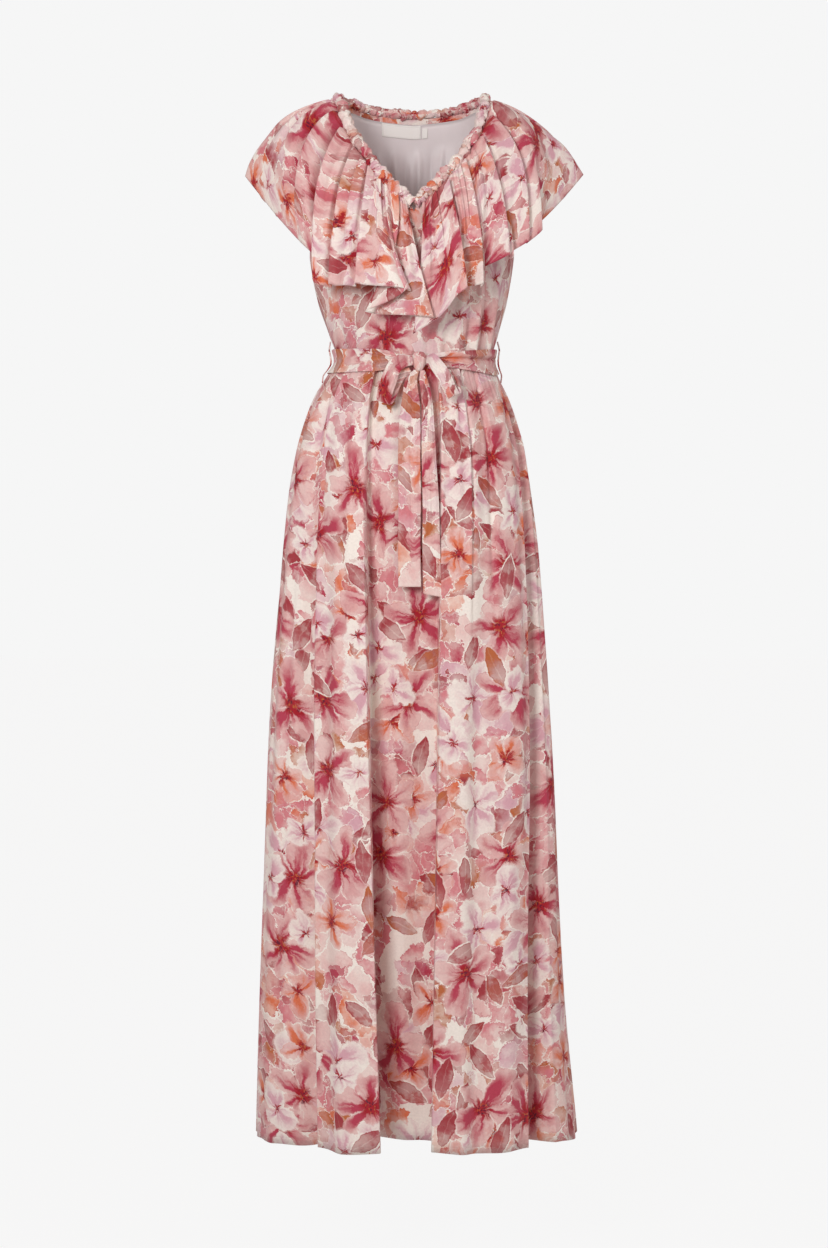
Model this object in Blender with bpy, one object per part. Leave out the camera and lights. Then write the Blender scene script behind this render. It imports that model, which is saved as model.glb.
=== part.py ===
"""A floor-length dress with a V neck, a ruffle collar and a tie belt, hollow as its wearer fills it.

Metres, +Z up, the front towards -Y. The origin is midway between the shoulder seams, where the
wearer's shoulders hold the dress. Left and right are those of someone who faces its front.
A drop is how far below the origin a point lies.
"""

import math
from collections import namedtuple

import bmesh
import bpy
from mathutils import Vector

# Driving sizes
WALL = 0.0015            # crepe georgette with its seam allowances
FLOUNCE_WALL = 0.0012    # one layer of the same cloth, with its rolled hem
LINING_WALL = 0.0010
LINING_INSIDE = 0.0045   # from the bodice's outer face to its lining
SEAM = 0.0004            # what is left between two pieces at a seam
HEM_DROP = 1.476         # shoulder seam to hem
WAIST_DROP = 0.3785      # shoulder seam to waist seam, at the sides
WAIST_DIP = 0.010        # how much lower the waist seam is at the centre front
CASING_RADIUS = 0.0058   # the rolled, elasticated neck edge
CASING_PINCH = 0.78      # how far its elastic draws it in between two gathers
CASING_SEAM = 0.0024     # how far over it the collar is sewn on, and the bodice under it
BELT_STAND = 0.0054      # from the cloth at the waist to the belt's face
CARRIER_RADIUS = 0.0013  # a thread loop at each side seam that the belt runs through
BAND_DEPTH = 0.0085      # the strip inside the back neck
LABEL_DEPTH = 0.0190
LINING_HEM_RISE = 0.03   # how far over the waist seam the lining ends, as a share of the bodice's height
V_PART = 0.10            # the share of the front neck edge that the bodice rounds off below the V
V_BACK_PART = 0.40       # and the share over which it lies back there, under the collar
V_DIP = 0.004            # how far its middle point drops and lies back

# The general figure that fills the dress: half widths and depths at each drop.
Section = namedtuple("Section", "drop left right front back")
FIGURE = (
    Section(0.000, 0.1680, 0.1650, 0.080, 0.070),
    Section(0.100, 0.1580, 0.1550, 0.101, 0.090),
    Section(0.175, 0.1520, 0.1470, 0.114, 0.097),
    Section(0.225, 0.1490, 0.1430, 0.118, 0.097),
    Section(0.290, 0.1375, 0.1330, 0.109, 0.090),
    Section(0.340, 0.1206, 0.1197, 0.096, 0.082),
    Section(0.3785, 0.1088, 0.1105, 0.089, 0.078),
    Section(0.400, 0.1238, 0.1186, 0.093, 0.087),
    Section(0.432, 0.1425, 0.1330, 0.102, 0.099),
    Section(0.4745, 0.1577, 0.1475, 0.111, 0.110),
    Section(0.503, 0.1655, 0.1558, 0.115, 0.115),
    Section(0.574, 0.1780, 0.1665, 0.120, 0.123),
    Section(0.717, 0.1910, 0.1800, 0.120, 0.128),
    Section(0.945, 0.2058, 0.1955, 0.116, 0.130),
    Section(1.287, 0.2178, 0.2112, 0.111, 0.130),
    Section(1.476, 0.2205, 0.2270, 0.110, 0.130),
)

# The neck edge from centre front (share 0) over the shoulder (0.6) to centre back (1).
SHOULDER_SHARE = 0.6
Neck = namedtuple("Neck", "share left right y drop")
NECK = (
    Neck(0.00, 0.0000, 0.0000, -0.1240, 0.1746),
    Neck(0.08, 0.0160, 0.0145, -0.1215, 0.1600),
    Neck(0.18, 0.0360, 0.0340, -0.1130, 0.1400),
    Neck(0.28, 0.0545, 0.0530, -0.0980, 0.1160),
    Neck(0.38, 0.0725, 0.0725, -0.0750, 0.0870),
    Neck(0.46, 0.0900, 0.0910, -0.0460, 0.0525),
    Neck(0.54, 0.1025, 0.1005, -0.0180, 0.0135),
    Neck(0.60, 0.1080, 0.1010, 0.0000, 0.0025),
    Neck(0.68, 0.0940, 0.0910, 0.0280, 0.0025),
    Neck(0.78, 0.0680, 0.0680, 0.0540, 0.0068),
    Neck(0.89, 0.0360, 0.0360, 0.0630, 0.0105),
    Neck(1.00, 0.0000, 0.0000, 0.0660, 0.0133),
)

# The armhole of one side, from the shoulder seam's outer end (share 0) down to the side seam.
# Reach is its distance from the centre as a share of the figure's half width there.
Armhole = namedtuple("Armhole", "share reach front back drop")
ARMHOLE = (
    Armhole(0.00, 0.805, 0.0000, 0.0000, 0.024),
    Armhole(0.20, 0.825, -0.0330, 0.0380, 0.062),
    Armhole(0.45, 0.850, -0.0560, 0.0590, 0.110),
    Armhole(0.65, 0.880, -0.0550, 0.0560, 0.160),
    Armhole(0.82, 0.945, -0.0390, 0.0390, 0.202),
    Armhole(0.93, 0.992, -0.0170, 0.0150, 0.225),
    Armhole(1.00, 1.000, 0.0000, 0.0000, 0.230),
)

# Shares of half a bodice panel's top edge: the neck edge, then the shoulder seam, then the armhole.
NECK_PART = 0.56
SHOULDER_PART = 0.70
BODICE_ROWS = 8
ARMHOLE_FAN = 0.15       # how far the cloth's length swings inwards before it fans out to the armhole
OVER_SHOULDER = 4        # how late the bodice turns from upright to lying on the shoulder

# The ruffle collar's hem, a row for each turn of its folds, from centre front to centre back.
# Share is where the same line of cloth leaves the neck edge, and x is positive away from the centre.
Ruffle = namedtuple("Ruffle", "share x y drop")
RUFFLES_LEFT = (
    Ruffle(0.030, -0.0272, -0.1490, 0.3335), Ruffle(0.055, -0.0030, -0.1420, 0.3300),
    Ruffle(0.078, 0.0218, -0.1330, 0.3280), Ruffle(0.098, 0.0465, -0.1280, 0.3260),
    Ruffle(0.120, 0.0680, -0.1345, 0.3240), Ruffle(0.145, 0.0360, -0.1430, 0.3110),
    Ruffle(0.170, 0.0068, -0.1510, 0.2965), Ruffle(0.195, 0.0170, -0.1590, 0.2940),
    Ruffle(0.222, 0.0394, -0.1570, 0.2925), Ruffle(0.250, 0.0600, -0.1500, 0.2900),
    Ruffle(0.280, 0.0766, -0.1410, 0.2880), Ruffle(0.330, 0.0940, -0.1420, 0.2885),
    Ruffle(0.385, 0.1130, -0.1250, 0.2872), Ruffle(0.420, 0.1250, -0.1270, 0.2860),
    Ruffle(0.445, 0.1340, -0.1180, 0.2835), Ruffle(0.468, 0.1240, -0.1080, 0.2620),
    Ruffle(0.490, 0.1400, -0.0970, 0.2390), Ruffle(0.515, 0.1640, -0.0800, 0.2140),
    Ruffle(0.545, 0.1960, -0.0480, 0.1750), Ruffle(0.575, 0.2200, -0.0240, 0.1425),
    Ruffle(0.600, 0.2415, 0.0000, 0.1125), Ruffle(0.630, 0.2270, 0.0220, 0.1285),
    Ruffle(0.660, 0.2180, 0.0420, 0.1400), Ruffle(0.690, 0.2010, 0.0520, 0.1500),
    Ruffle(0.720, 0.1990, 0.0780, 0.1580), Ruffle(0.752, 0.1760, 0.0780, 0.1650),
    Ruffle(0.780, 0.1760, 0.1060, 0.1710), Ruffle(0.812, 0.1430, 0.0990, 0.1770),
    Ruffle(0.845, 0.1300, 0.1270, 0.1820), Ruffle(0.878, 0.0950, 0.1160, 0.1870),
    Ruffle(0.910, 0.0750, 0.1400, 0.1910), Ruffle(0.945, 0.0480, 0.1260, 0.1950),
    Ruffle(0.975, 0.0240, 0.1430, 0.1990), Ruffle(1.000, 0.0000, 0.1370, 0.2010),
)
RUFFLES_RIGHT = (
    Ruffle(0.030, -0.0014, -0.1340, 0.3540), Ruffle(0.060, 0.0150, -0.1350, 0.3440),
    Ruffle(0.095, 0.0323, -0.1390, 0.3330), Ruffle(0.135, 0.0477, -0.1460, 0.3175),
    Ruffle(0.170, 0.0600, -0.1520, 0.3020), Ruffle(0.205, 0.0723, -0.1480, 0.2927),
    Ruffle(0.230, 0.0620, -0.1400, 0.2900), Ruffle(0.255, 0.0590, -0.1310, 0.2890),
    Ruffle(0.300, 0.0790, -0.1290, 0.2875), Ruffle(0.350, 0.0972, -0.1290, 0.2865),
    Ruffle(0.375, 0.0870, -0.1200, 0.2720), Ruffle(0.395, 0.0910, -0.1110, 0.2620),
    Ruffle(0.418, 0.1180, -0.1130, 0.2500), Ruffle(0.440, 0.1418, -0.1120, 0.2418),
    Ruffle(0.458, 0.1310, -0.1035, 0.2380), Ruffle(0.474, 0.1370, -0.0940, 0.2340),
    Ruffle(0.495, 0.1620, -0.0930, 0.2195), Ruffle(0.520, 0.1800, -0.0840, 0.2022),
    Ruffle(0.538, 0.1700, -0.0745, 0.1960), Ruffle(0.553, 0.1760, -0.0640, 0.1900),
    Ruffle(0.568, 0.1980, -0.0450, 0.1660), Ruffle(0.585, 0.2210, -0.0230, 0.1380),
    Ruffle(0.600, 0.2417, 0.0000, 0.1105), Ruffle(0.628, 0.2250, 0.0240, 0.1270),
    Ruffle(0.655, 0.2130, 0.0460, 0.1390), Ruffle(0.690, 0.1940, 0.0530, 0.1490),
    Ruffle(0.722, 0.1900, 0.0840, 0.1580), Ruffle(0.756, 0.1700, 0.0810, 0.1660),
    Ruffle(0.790, 0.1680, 0.1100, 0.1730), Ruffle(0.824, 0.1330, 0.1030, 0.1790),
    Ruffle(0.860, 0.1130, 0.1310, 0.1850), Ruffle(0.900, 0.0800, 0.1190, 0.1900),
    Ruffle(0.935, 0.0560, 0.1400, 0.1950), Ruffle(0.970, 0.0270, 0.1290, 0.1990),
    Ruffle(1.000, 0.0000, 0.1370, 0.2010),
)

FOLD_SPAN = 0.10         # the share of the neck edge on each side over which its folds even out
SHOULDER_PUFF = 0.018    # how far the collar rounds out over the shoulder
PUFF_SPAN = 0.14         # the share of the neck edge on either side over which it does
PUFF_FALL = 0.75         # how near the neck: 1 puts it halfway down, and less puts it nearer

# How far the collar rises over the straight line from neck edge to hem, on the bust and shoulder.
Rise = namedtuple("Rise", "share left right")
COLLAR_RISE = (
    Rise(0.00, 0.014, 0.014),
    Rise(0.20, 0.027, 0.027),
    Rise(0.45, 0.040, 0.034),
    Rise(0.60, 0.049, 0.036),
    Rise(0.75, 0.038, 0.034),
    Rise(1.00, 0.026, 0.026),
)

# The skirt's folds, a row for each crest, edge and hollow. Angles are degrees round from the
# centre front to the right; out and along are at the hem, and grow from the waist down.
Pleat = namedtuple("Pleat", "waist_angle hem_angle waist_out hem_out hem_along")
SKIRT_FRONT_FOLDS = (
    Pleat(-90, -90, 0.000, 0.000, 0.000), Pleat(-78, -71, 0.001, 0.008, 0.000),
    Pleat(-66, -54, 0.001, 0.004, 0.000), Pleat(-57, -38.5, -0.001, -0.018, 0.002),
    Pleat(-51, -34, 0.000, 0.014, -0.004), Pleat(-40, -25, 0.001, 0.030, 0.000),
    Pleat(-29, -15, 0.0015, 0.024, 0.006), Pleat(-25, -10, -0.0015, -0.056, -0.005),
    Pleat(-8, -3, -0.001, -0.064, 0.000), Pleat(14, 4.5, -0.001, -0.054, 0.005),
    Pleat(19, 8.5, 0.001, 0.020, -0.006), Pleat(30, 15, 0.001, 0.032, 0.000),
    Pleat(42, 24, -0.001, 0.020, 0.000), Pleat(58, 33, 0.001, 0.032, 0.000),
    Pleat(74, 40, 0.001, 0.020, 0.005), Pleat(78, 44.5, -0.001, -0.062, -0.002),
    Pleat(81, 49, 0.000, -0.004, -0.005), Pleat(85, 57, 0.001, 0.016, 0.000),
    Pleat(88, 73, 0.000, 0.006, 0.000), Pleat(90, 90, 0.000, 0.000, 0.000),
)
SKIRT_BACK_FOLDS = (
    Pleat(90, 90, 0.000, 0.000, 0.000), Pleat(103, 101, 0.001, 0.010, 0.000),
    Pleat(115, 112, -0.001, -0.022, 0.000), Pleat(127, 123, 0.001, 0.026, -0.004),
    Pleat(139, 136, 0.000, 0.012, 0.000), Pleat(149, 147, -0.001, -0.036, 0.004),
    Pleat(160, 158, 0.001, 0.028, -0.003), Pleat(172, 171, 0.000, 0.016, 0.000),
    Pleat(181, 180, -0.001, -0.036, 0.000), Pleat(190, 190, 0.001, 0.028, 0.004),
    Pleat(203, 205, 0.000, 0.008, 0.000), Pleat(213, 216, -0.001, -0.032, -0.003),
    Pleat(226, 230, 0.001, 0.026, 0.003), Pleat(240, 245, -0.001, -0.016, 0.000),
    Pleat(254, 257, 0.001, 0.012, 0.000), Pleat(270, 270, 0.000, 0.000, 0.000),
)
ROWS_TO_HIP = 1.4        # the skirt's rows lie closer together at the hips, where it curves
ANGLE_GROWTH = 0.55      # how soon a fold swings from its place at the waist to that at the hem
FOLD_GROWTH = 0.85       # how soon it deepens

# The bodice's gathers, by their angle at the waist.
Gather = namedtuple("Gather", "angle out")
BODICE_FRONT_GATHERS = (
    Gather(-90, 0.0000), Gather(-79, 0.0005), Gather(-70, -0.0005), Gather(-60, 0.0010),
    Gather(-50, -0.0020), Gather(-40, 0.0020), Gather(-30, -0.0035), Gather(-20, 0.0030),
    Gather(-10, -0.0010), Gather(0, 0.0015), Gather(10, -0.0015), Gather(20, 0.0020),
    Gather(29, -0.0020), Gather(38, 0.0030), Gather(46, -0.0030), Gather(54, 0.0025),
    Gather(62, -0.0010), Gather(70, 0.0008), Gather(77, -0.0005), Gather(83, 0.0003),
    Gather(90, 0.0000),
)
BODICE_BACK_GATHERS = (
    Gather(90, 0.0000), Gather(101, 0.0020), Gather(112, -0.0020), Gather(124, 0.0025),
    Gather(135, -0.0025), Gather(147, 0.0030), Gather(158, -0.0020), Gather(169, 0.0025),
    Gather(180, -0.0020), Gather(192, 0.0025), Gather(203, -0.0025), Gather(214, 0.0030),
    Gather(226, -0.0025), Gather(238, 0.0020), Gather(250, -0.0020), Gather(260, 0.0015),
    Gather(270, 0.0000),
)

# The belt's upper and lower edge round the waist: drawn together at the knot, loose at one side.
BeltEdge = namedtuple("BeltEdge", "angle top bottom")
BELT = (
    BeltEdge(-180, 0.3620, 0.3940), BeltEdge(-90, 0.3610, 0.3945), BeltEdge(-55, 0.3650, 0.3985),
    BeltEdge(-25, 0.3690, 0.4000), BeltEdge(-8, 0.3770, 0.3930), BeltEdge(0, 0.3790, 0.3920),
    BeltEdge(10, 0.3770, 0.3930), BeltEdge(25, 0.3720, 0.3950), BeltEdge(45, 0.3685, 0.3985),
    BeltEdge(66, 0.3640, 0.4010), BeltEdge(90, 0.3610, 0.3950), BeltEdge(130, 0.3610, 0.3945),
    BeltEdge(180, 0.3620, 0.3940),
)

# The thread loop that carries the belt at a side seam.
Carrier = namedtuple("Carrier", "drop out")
CARRIER = (
    Carrier(0.3490, 0.0018), Carrier(0.3530, 0.0040), Carrier(0.3575, 0.0066),
    Carrier(0.3640, 0.0088), Carrier(0.3800, 0.0094), Carrier(0.3900, 0.0086),
    Carrier(0.3975, 0.0072), Carrier(0.4070, 0.0021),
)

# The bow's bands: the middle line, the width, and the tilt of that width from the horizontal.
KNOT = Vector((0.0068, -0.1028, -0.3880))
KNOT_HALF = Vector((0.0085, 0.0065, 0.0135))
Band = namedtuple("Band", "x y drop width tilt")
LOOP_LEFT = (
    Band(-0.0018, -0.1032, 0.3880, 0.010, -86), Band(-0.0150, -0.1130, 0.3890, 0.018, -68),
    Band(-0.0270, -0.1210, 0.3990, 0.021, -46), Band(-0.0350, -0.1260, 0.4180, 0.022, -28),
    Band(-0.0400, -0.1280, 0.4370, 0.021, -20), Band(-0.0410, -0.1240, 0.4470, 0.020, -20),
    Band(-0.0370, -0.1190, 0.4420, 0.019, -22), Band(-0.0290, -0.1140, 0.4260, 0.017, -30),
    Band(-0.0190, -0.1090, 0.4090, 0.014, -42), Band(-0.0060, -0.1030, 0.4000, 0.009, -55),
)
LOOP_RIGHT = (
    Band(0.0168, -0.1035, 0.3860, 0.010, 84), Band(0.0250, -0.1150, 0.3860, 0.016, 62),
    Band(0.0340, -0.1220, 0.3980, 0.019, 40), Band(0.0430, -0.1270, 0.4150, 0.019, 30),
    Band(0.0510, -0.1290, 0.4310, 0.018, 27), Band(0.0560, -0.1250, 0.4380, 0.018, 26),
    Band(0.0570, -0.1190, 0.4310, 0.017, 26), Band(0.0510, -0.1140, 0.4130, 0.016, 34),
    Band(0.0380, -0.1090, 0.4000, 0.012, 50), Band(0.0200, -0.1030, 0.3930, 0.009, 66),
)
TAIL_LEFT = (
    Band(0.0028, -0.1034, 0.4008, 0.007, -14), Band(-0.0035, -0.1110, 0.4200, 0.018, -8),
    Band(-0.0050, -0.1170, 0.4700, 0.029, 0), Band(-0.0060, -0.1205, 0.5400, 0.031, 2),
    Band(-0.0065, -0.1210, 0.6200, 0.031, 0), Band(-0.0065, -0.1205, 0.7000, 0.031, 0),
)
TAIL_RIGHT = (
    Band(0.0108, -0.1034, 0.4008, 0.006, 14), Band(0.0150, -0.1110, 0.4200, 0.012, 8),
    Band(0.0195, -0.1175, 0.4700, 0.017, 0), Band(0.0220, -0.1210, 0.5500, 0.021, 0),
    Band(0.0235, -0.1220, 0.6300, 0.024, -4), Band(0.0250, -0.1225, 0.7120, 0.026, -10),
)
BAND_CROWN = 0.0012      # how far a band's middle stands out over its edges

MATERIALS = {
    "printed_crepe": ((0.80, 0.52, 0.52), 0.75),
    "lining": ((0.58, 0.52, 0.53), 0.60),
    "label_satin": ((0.86, 0.84, 0.80), 0.50),
}


def mix(low, high, share):
    return low + (high - low) * share


def smooth(share):
    """0 to 1 with level ends, as cloth turns from a hollow to a crest."""
    return share * share * (3 - 2 * share)


def slope_at(keys, values, i):
    """The slope through a row that keeps the curve from overshooting its neighbours."""
    if i == 0:
        return (values[1] - values[0]) / (keys[1] - keys[0])
    if i == len(keys) - 1:
        return (values[i] - values[i - 1]) / (keys[i] - keys[i - 1])
    before = (values[i] - values[i - 1]) / (keys[i] - keys[i - 1])
    after = (values[i + 1] - values[i]) / (keys[i + 1] - keys[i])
    if before * after <= 0:
        return 0.0
    return 2 * before * after / (before + after)


def read(table, where, column):
    """A column's value at a place in a table's first column, on a smooth curve through its rows."""
    keys = [row[0] for row in table]
    values = [getattr(row, column) for row in table]
    where = min(max(where, keys[0]), keys[-1])
    i = next(n for n in range(len(keys) - 1) if where <= keys[n + 1])
    span = keys[i + 1] - keys[i]
    t = (where - keys[i]) / span
    start = slope_at(keys, values, i) * span
    end = slope_at(keys, values, i + 1) * span
    return (
        values[i] * (2 * t**3 - 3 * t**2 + 1)
        + start * (t**3 - 2 * t**2 + t)
        + values[i + 1] * (3 * t**2 - 2 * t**3)
        + end * (t**3 - t**2)
    )


def through(table, where):
    """All columns at a share of the way along a table's rows, on a round curve through them."""
    last = len(table) - 1
    i = min(int(where * last), last - 1)
    t = where * last - i
    rows = (table[max(i - 1, 0)], table[i], table[i + 1], table[min(i + 2, last)])
    return type(table[0])(*(
        (2 * b + (c - a) * t + (2 * a - 5 * b + 4 * c - d) * t**2 + (3 * b - a - 3 * c + d) * t**3) / 2
        for a, b, c, d in zip(*rows)
    ))


def columns_of(table, steps):
    """Places along a table of folds, as (row number, share of the way to the next row)."""
    places = [(i, n / steps) for i in range(len(table) - 1) for n in range(steps)]
    return places + [(len(table) - 2, 1.0)]


def between(table, place, column, ease=smooth):
    """A column's value at a place from columns_of: level at each crest and hollow."""
    i, share = place
    return mix(getattr(table[i], column), getattr(table[i + 1], column), ease(share))


def evenly(table, place, column):
    """A column's value at a place from columns_of, on a straight line between its rows."""
    return between(table, place, column, float)


def figure(angle, drop, out=0.0, along=0.0):
    """A point on the figure, moved outwards and along its girth. Angle is in radians."""
    width = read(FIGURE, drop, "right" if math.sin(angle) > 0 else "left")
    depth = read(FIGURE, drop, "front" if math.cos(angle) > 0 else "back")
    outward = Vector((math.sin(angle) / width, -math.cos(angle) / depth, 0)).normalized()
    girthwise = Vector((-outward.y, outward.x, 0))
    on_figure = Vector((width * math.sin(angle), -depth * math.cos(angle), -drop))
    return on_figure + outward * out + girthwise * along


def waist_drop(angle):
    """The waist seam's drop, a little lower in front."""
    return WAIST_DROP + WAIST_DIP * max(0.0, math.cos(angle))


def neck_point(share, side):
    """A point on the neck edge's middle line. Side is -1 on the left and 1 on the right."""
    across = read(NECK, share, "left" if side < 0 else "right")
    return Vector((side * across, read(NECK, share, "y"), -read(NECK, share, "drop")))


def hem_point(share, side):
    """A point of the collar's hem that belongs to a share of the neck edge."""
    ruffles = RUFFLES_LEFT if side < 0 else RUFFLES_RIGHT
    across = read(ruffles, share, "x")
    return Vector((side * across, read(ruffles, share, "y"), -read(ruffles, share, "drop")))


def mean_hem(share, side):
    """Where the collar's hem would lie there without its folds, which carry on past the centre back."""
    spread = [share + FOLD_SPAN * n / 4 for n in range(-4, 5)]
    points = [hem_point(min(at, 2 - at), side) for at in spread]
    middle = sum(points, Vector()) / len(points)
    middle.x = sum(point.x if at <= 1 else -point.x for at, point in zip(spread, points)) / len(points)
    return middle


def off_neck(share, side, over):
    """A point beside the rolled neck edge on the collar's side, and over the line that it falls along."""
    neck = neck_point(share, side)
    step = 0.01
    along = (neck_point(min(share + step, 1), side) - neck_point(max(share - step, 0), side)).normalized()
    away = mean_hem(share, side) - neck
    away = (away - along * away.dot(along)).normalized()
    raised = (Vector((0, 0, 1)) - away * away.z).normalized()
    return neck + away * (CASING_RADIUS + SEAM) + raised * over


def collar_point(share, hem, fall, side):
    """The collar between a share of the neck edge (fall 0) and a point of its hem (fall 1).

    Its folds stand out as they leave the neck, and lean sideways only further down.
    """
    start = off_neck(share, side, CASING_SEAM)
    mean = mean_hem(share, side)
    chord = (mean - start).normalized()
    raised = (Vector((0, 0, 1)) - chord * chord.z).normalized()
    lift = read(COLLAR_RISE, share, "left" if side < 0 else "right")
    control = (start + Vector((mean.x, hem.y, mean.z))) / 2 + raised * lift
    puff = SHOULDER_PUFF * math.exp(-((share - SHOULDER_SHARE) / PUFF_SPAN) ** 2)
    puff *= math.sin(math.pi * fall ** PUFF_FALL)
    return start * (1 - fall) ** 2 + control * (2 * fall * (1 - fall)) + hem * fall**2 + raised * puff


def new_object(name, data, material):
    """An object of the dress in its collection, with its colour."""
    look = bpy.data.materials.get(material)
    if look is None:
        look = bpy.data.materials.new(material)
        look.use_nodes = True
        colour, roughness = MATERIALS[material]
        shader = look.node_tree.nodes["Principled BSDF"]
        shader.inputs["Base Color"].default_value = (*colour, 1)
        shader.inputs["Roughness"].default_value = roughness
    piece = bpy.data.objects.new(name, data)
    piece.data.materials.append(look)
    bpy.data.collections["maxi_dress"].objects.link(piece)
    return piece


def cloth(name, columns, rows, place, wall, material="printed_crepe", closed=False, keep=None):
    """A grid whose points go where place(column, row) says, with a wall grown inwards from it.

    Keep, where it is given, moves a point back to its own side of a seam.
    """
    shape = bmesh.new()
    bmesh.ops.create_grid(shape, x_segments=columns, y_segments=rows, size=1.0)
    for vertex in shape.verts:
        column = round((vertex.co.x + 1) / 2 * columns)
        row = round((vertex.co.y + 1) / 2 * rows)
        vertex.co = place(column % columns if closed else column, row)
    if closed:
        bmesh.ops.remove_doubles(shape, verts=shape.verts, dist=1e-6)
    shape.normal_update()
    bmesh.ops.solidify(shape, geom=shape.faces[:], thickness=wall)
    if keep:
        for vertex in shape.verts:
            vertex.co = keep(vertex.co)
    mesh = bpy.data.meshes.new(name)
    shape.to_mesh(mesh)
    shape.free()
    mesh.shade_smooth()
    return new_object(name, mesh, material)


def keep_front(point):
    """A point kept before the side and shoulder seams, which lie in the plane y = 0."""
    return Vector((point.x, min(point.y, -SEAM / 2), point.z))


def keep_back(point):
    """A point kept behind the side and shoulder seams."""
    return Vector((point.x, max(point.y, SEAM / 2), point.z))


def tube(name, points, radius, swells=None, roundness=1):
    """A round roll along a line, thicker and thinner by its swells."""
    line = bpy.data.curves.new(name, "CURVE")
    line.dimensions = "3D"
    line.bevel_depth = radius
    line.bevel_resolution = roundness
    line.use_fill_caps = True
    spline = line.splines.new("POLY")
    spline.points.add(len(points) - 1)
    for i, point in enumerate(points):
        spline.points[i].co = (*point, 1)
        spline.points[i].radius = swells[i] if swells else 1.0
    return new_object(name, line, "printed_crepe")


def skirt_panel(name, folds, steps, rows, keep):
    """One skirt panel from waist seam to hem, between its side seams."""
    places = columns_of(folds, steps)

    def place(column, row):
        at = places[column]
        fall = (1 - row / rows) ** ROWS_TO_HIP
        angle = math.radians(mix(
            evenly(folds, at, "waist_angle"), evenly(folds, at, "hem_angle"), fall ** ANGLE_GROWTH
        ))
        growth = fall ** FOLD_GROWTH
        out = mix(between(folds, at, "waist_out"), between(folds, at, "hem_out"), growth)
        along = between(folds, at, "hem_along") * growth
        drop = mix(waist_drop(angle) + SEAM / 2, HEM_DROP, fall)
        return figure(angle, drop, out, along)

    return cloth(name, len(places) - 1, rows, place, WALL, keep=keep)


def bodice_top(share, side, face):
    """Half a bodice panel's top edge, from its centre to the side seam. Face is front or back."""
    if share <= NECK_PART:
        along = share / NECK_PART
        edge = off_neck(mix(0 if face == "front" else 1, SHOULDER_SHARE, along), side, -CASING_SEAM)
        if face == "front":
            middle = max(0.0, 1 - along / V_PART)
            edge.y += V_DIP * max(0.0, 1 - along / V_BACK_PART)
            return Vector((edge.x * (1 - middle), edge.y, edge.z - V_DIP * middle))
        return edge
    outer = armhole_point(0, side, face)
    if share <= SHOULDER_PART:
        along = (share - NECK_PART) / (SHOULDER_PART - NECK_PART)
        return bodice_top(NECK_PART, side, face).lerp(outer, along)
    return armhole_point((share - SHOULDER_PART) / (1 - SHOULDER_PART), side, face)


def armhole_point(share, side, face):
    """A point of the armhole, from the shoulder seam to the side seam."""
    drop = read(ARMHOLE, share, "drop")
    width = read(FIGURE, drop, "left" if side < 0 else "right")
    return Vector((side * width * read(ARMHOLE, share, "reach"), read(ARMHOLE, share, face), -drop))


def bodice_point(angle, rise, face, gather=0.0):
    """A point of a bodice panel. Angle is that at the waist, in degrees; rise is 0 at the waist."""
    around = angle if face == "front" else 180 - angle
    side = -1 if around < 0 else 1
    share = min(abs(around) / 90, 1.0)
    top = bodice_top(share, side, face)
    width = read(FIGURE, -top.z, "left" if side < 0 else "right")
    end = math.degrees(math.asin(max(-1.0, min(1.0, top.x / width))))
    fan = min(share / SHOULDER_PART, (1 - share) / (1 - SHOULDER_PART))
    fan = 1 - ARMHOLE_FAN * fan * math.sin(math.pi * rise)
    turn = math.radians(mix(around, end, rise) * fan)
    drop = mix(waist_drop(math.radians(angle)) - SEAM / 2, -top.z, rise)
    puff = 0.65 * math.sin(math.pi * min(1.0, rise * 1.6)) + 0.35 * (1 - rise)
    point = figure(turn if face == "front" else math.pi - turn, drop, gather * puff)
    end = math.radians(end)
    under_top = figure(end if face == "front" else math.pi - end, -top.z)
    point.y += (top - under_top).y * rise ** OVER_SHOULDER
    return point


def bodice_panel(name, face, gathers, steps, keep):
    """A bodice panel from the waist seam up to the neck edge, shoulder seams and armholes."""
    places = columns_of(gathers, steps)

    def place(column, row):
        at = places[column]
        gather = between(gathers, at, "out")
        return bodice_point(evenly(gathers, at, "angle"), row / BODICE_ROWS, face, gather)

    return cloth(name, len(places) - 1, BODICE_ROWS, place, WALL, keep=keep)


def inside_back(angle, rise, depth):
    """A point inside the back bodice, so far in from its outer face."""
    low = min(rise, 1 - 1 / BODICE_ROWS)
    across = bodice_point(angle + 2, rise, "back") - bodice_point(angle - 2, rise, "back")
    up = bodice_point(angle, low + 1 / BODICE_ROWS, "back") - bodice_point(angle, low, "back")
    return bodice_point(angle, rise, "back") - across.cross(up).normalized() * depth


def inside_top(angle, below, depth):
    """A point inside the back bodice, so far below its top edge and in from its outer face."""
    top = inside_back(angle, 1, depth)
    lower = inside_back(angle, 1 - 1 / BODICE_ROWS, depth)
    return top + (lower - top).normalized() * below


def inside_piece(name, material, angles, rows, upper, lower, depth):
    """A piece inside the top of the back bodice, between two distances below its top edge."""

    def place(column, row):
        return inside_top(angles[column], mix(lower, upper, row / rows), depth)

    return cloth(name, len(angles) - 1, rows, place, LINING_WALL, material, keep=keep_back)


def back_lining(angles, top):
    """The lining of the back bodice, from the waist up to the strip inside its neck edge."""

    def place(column, row):
        angle = angles[column]
        if row == BODICE_ROWS:
            return inside_top(angle, top, LINING_INSIDE)
        return inside_back(angle, max(row / BODICE_ROWS, LINING_HEM_RISE), LINING_INSIDE)

    return cloth(
        "back_lining", len(angles) - 1, BODICE_ROWS, place, LINING_WALL, "lining", keep=keep_back
    )


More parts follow.
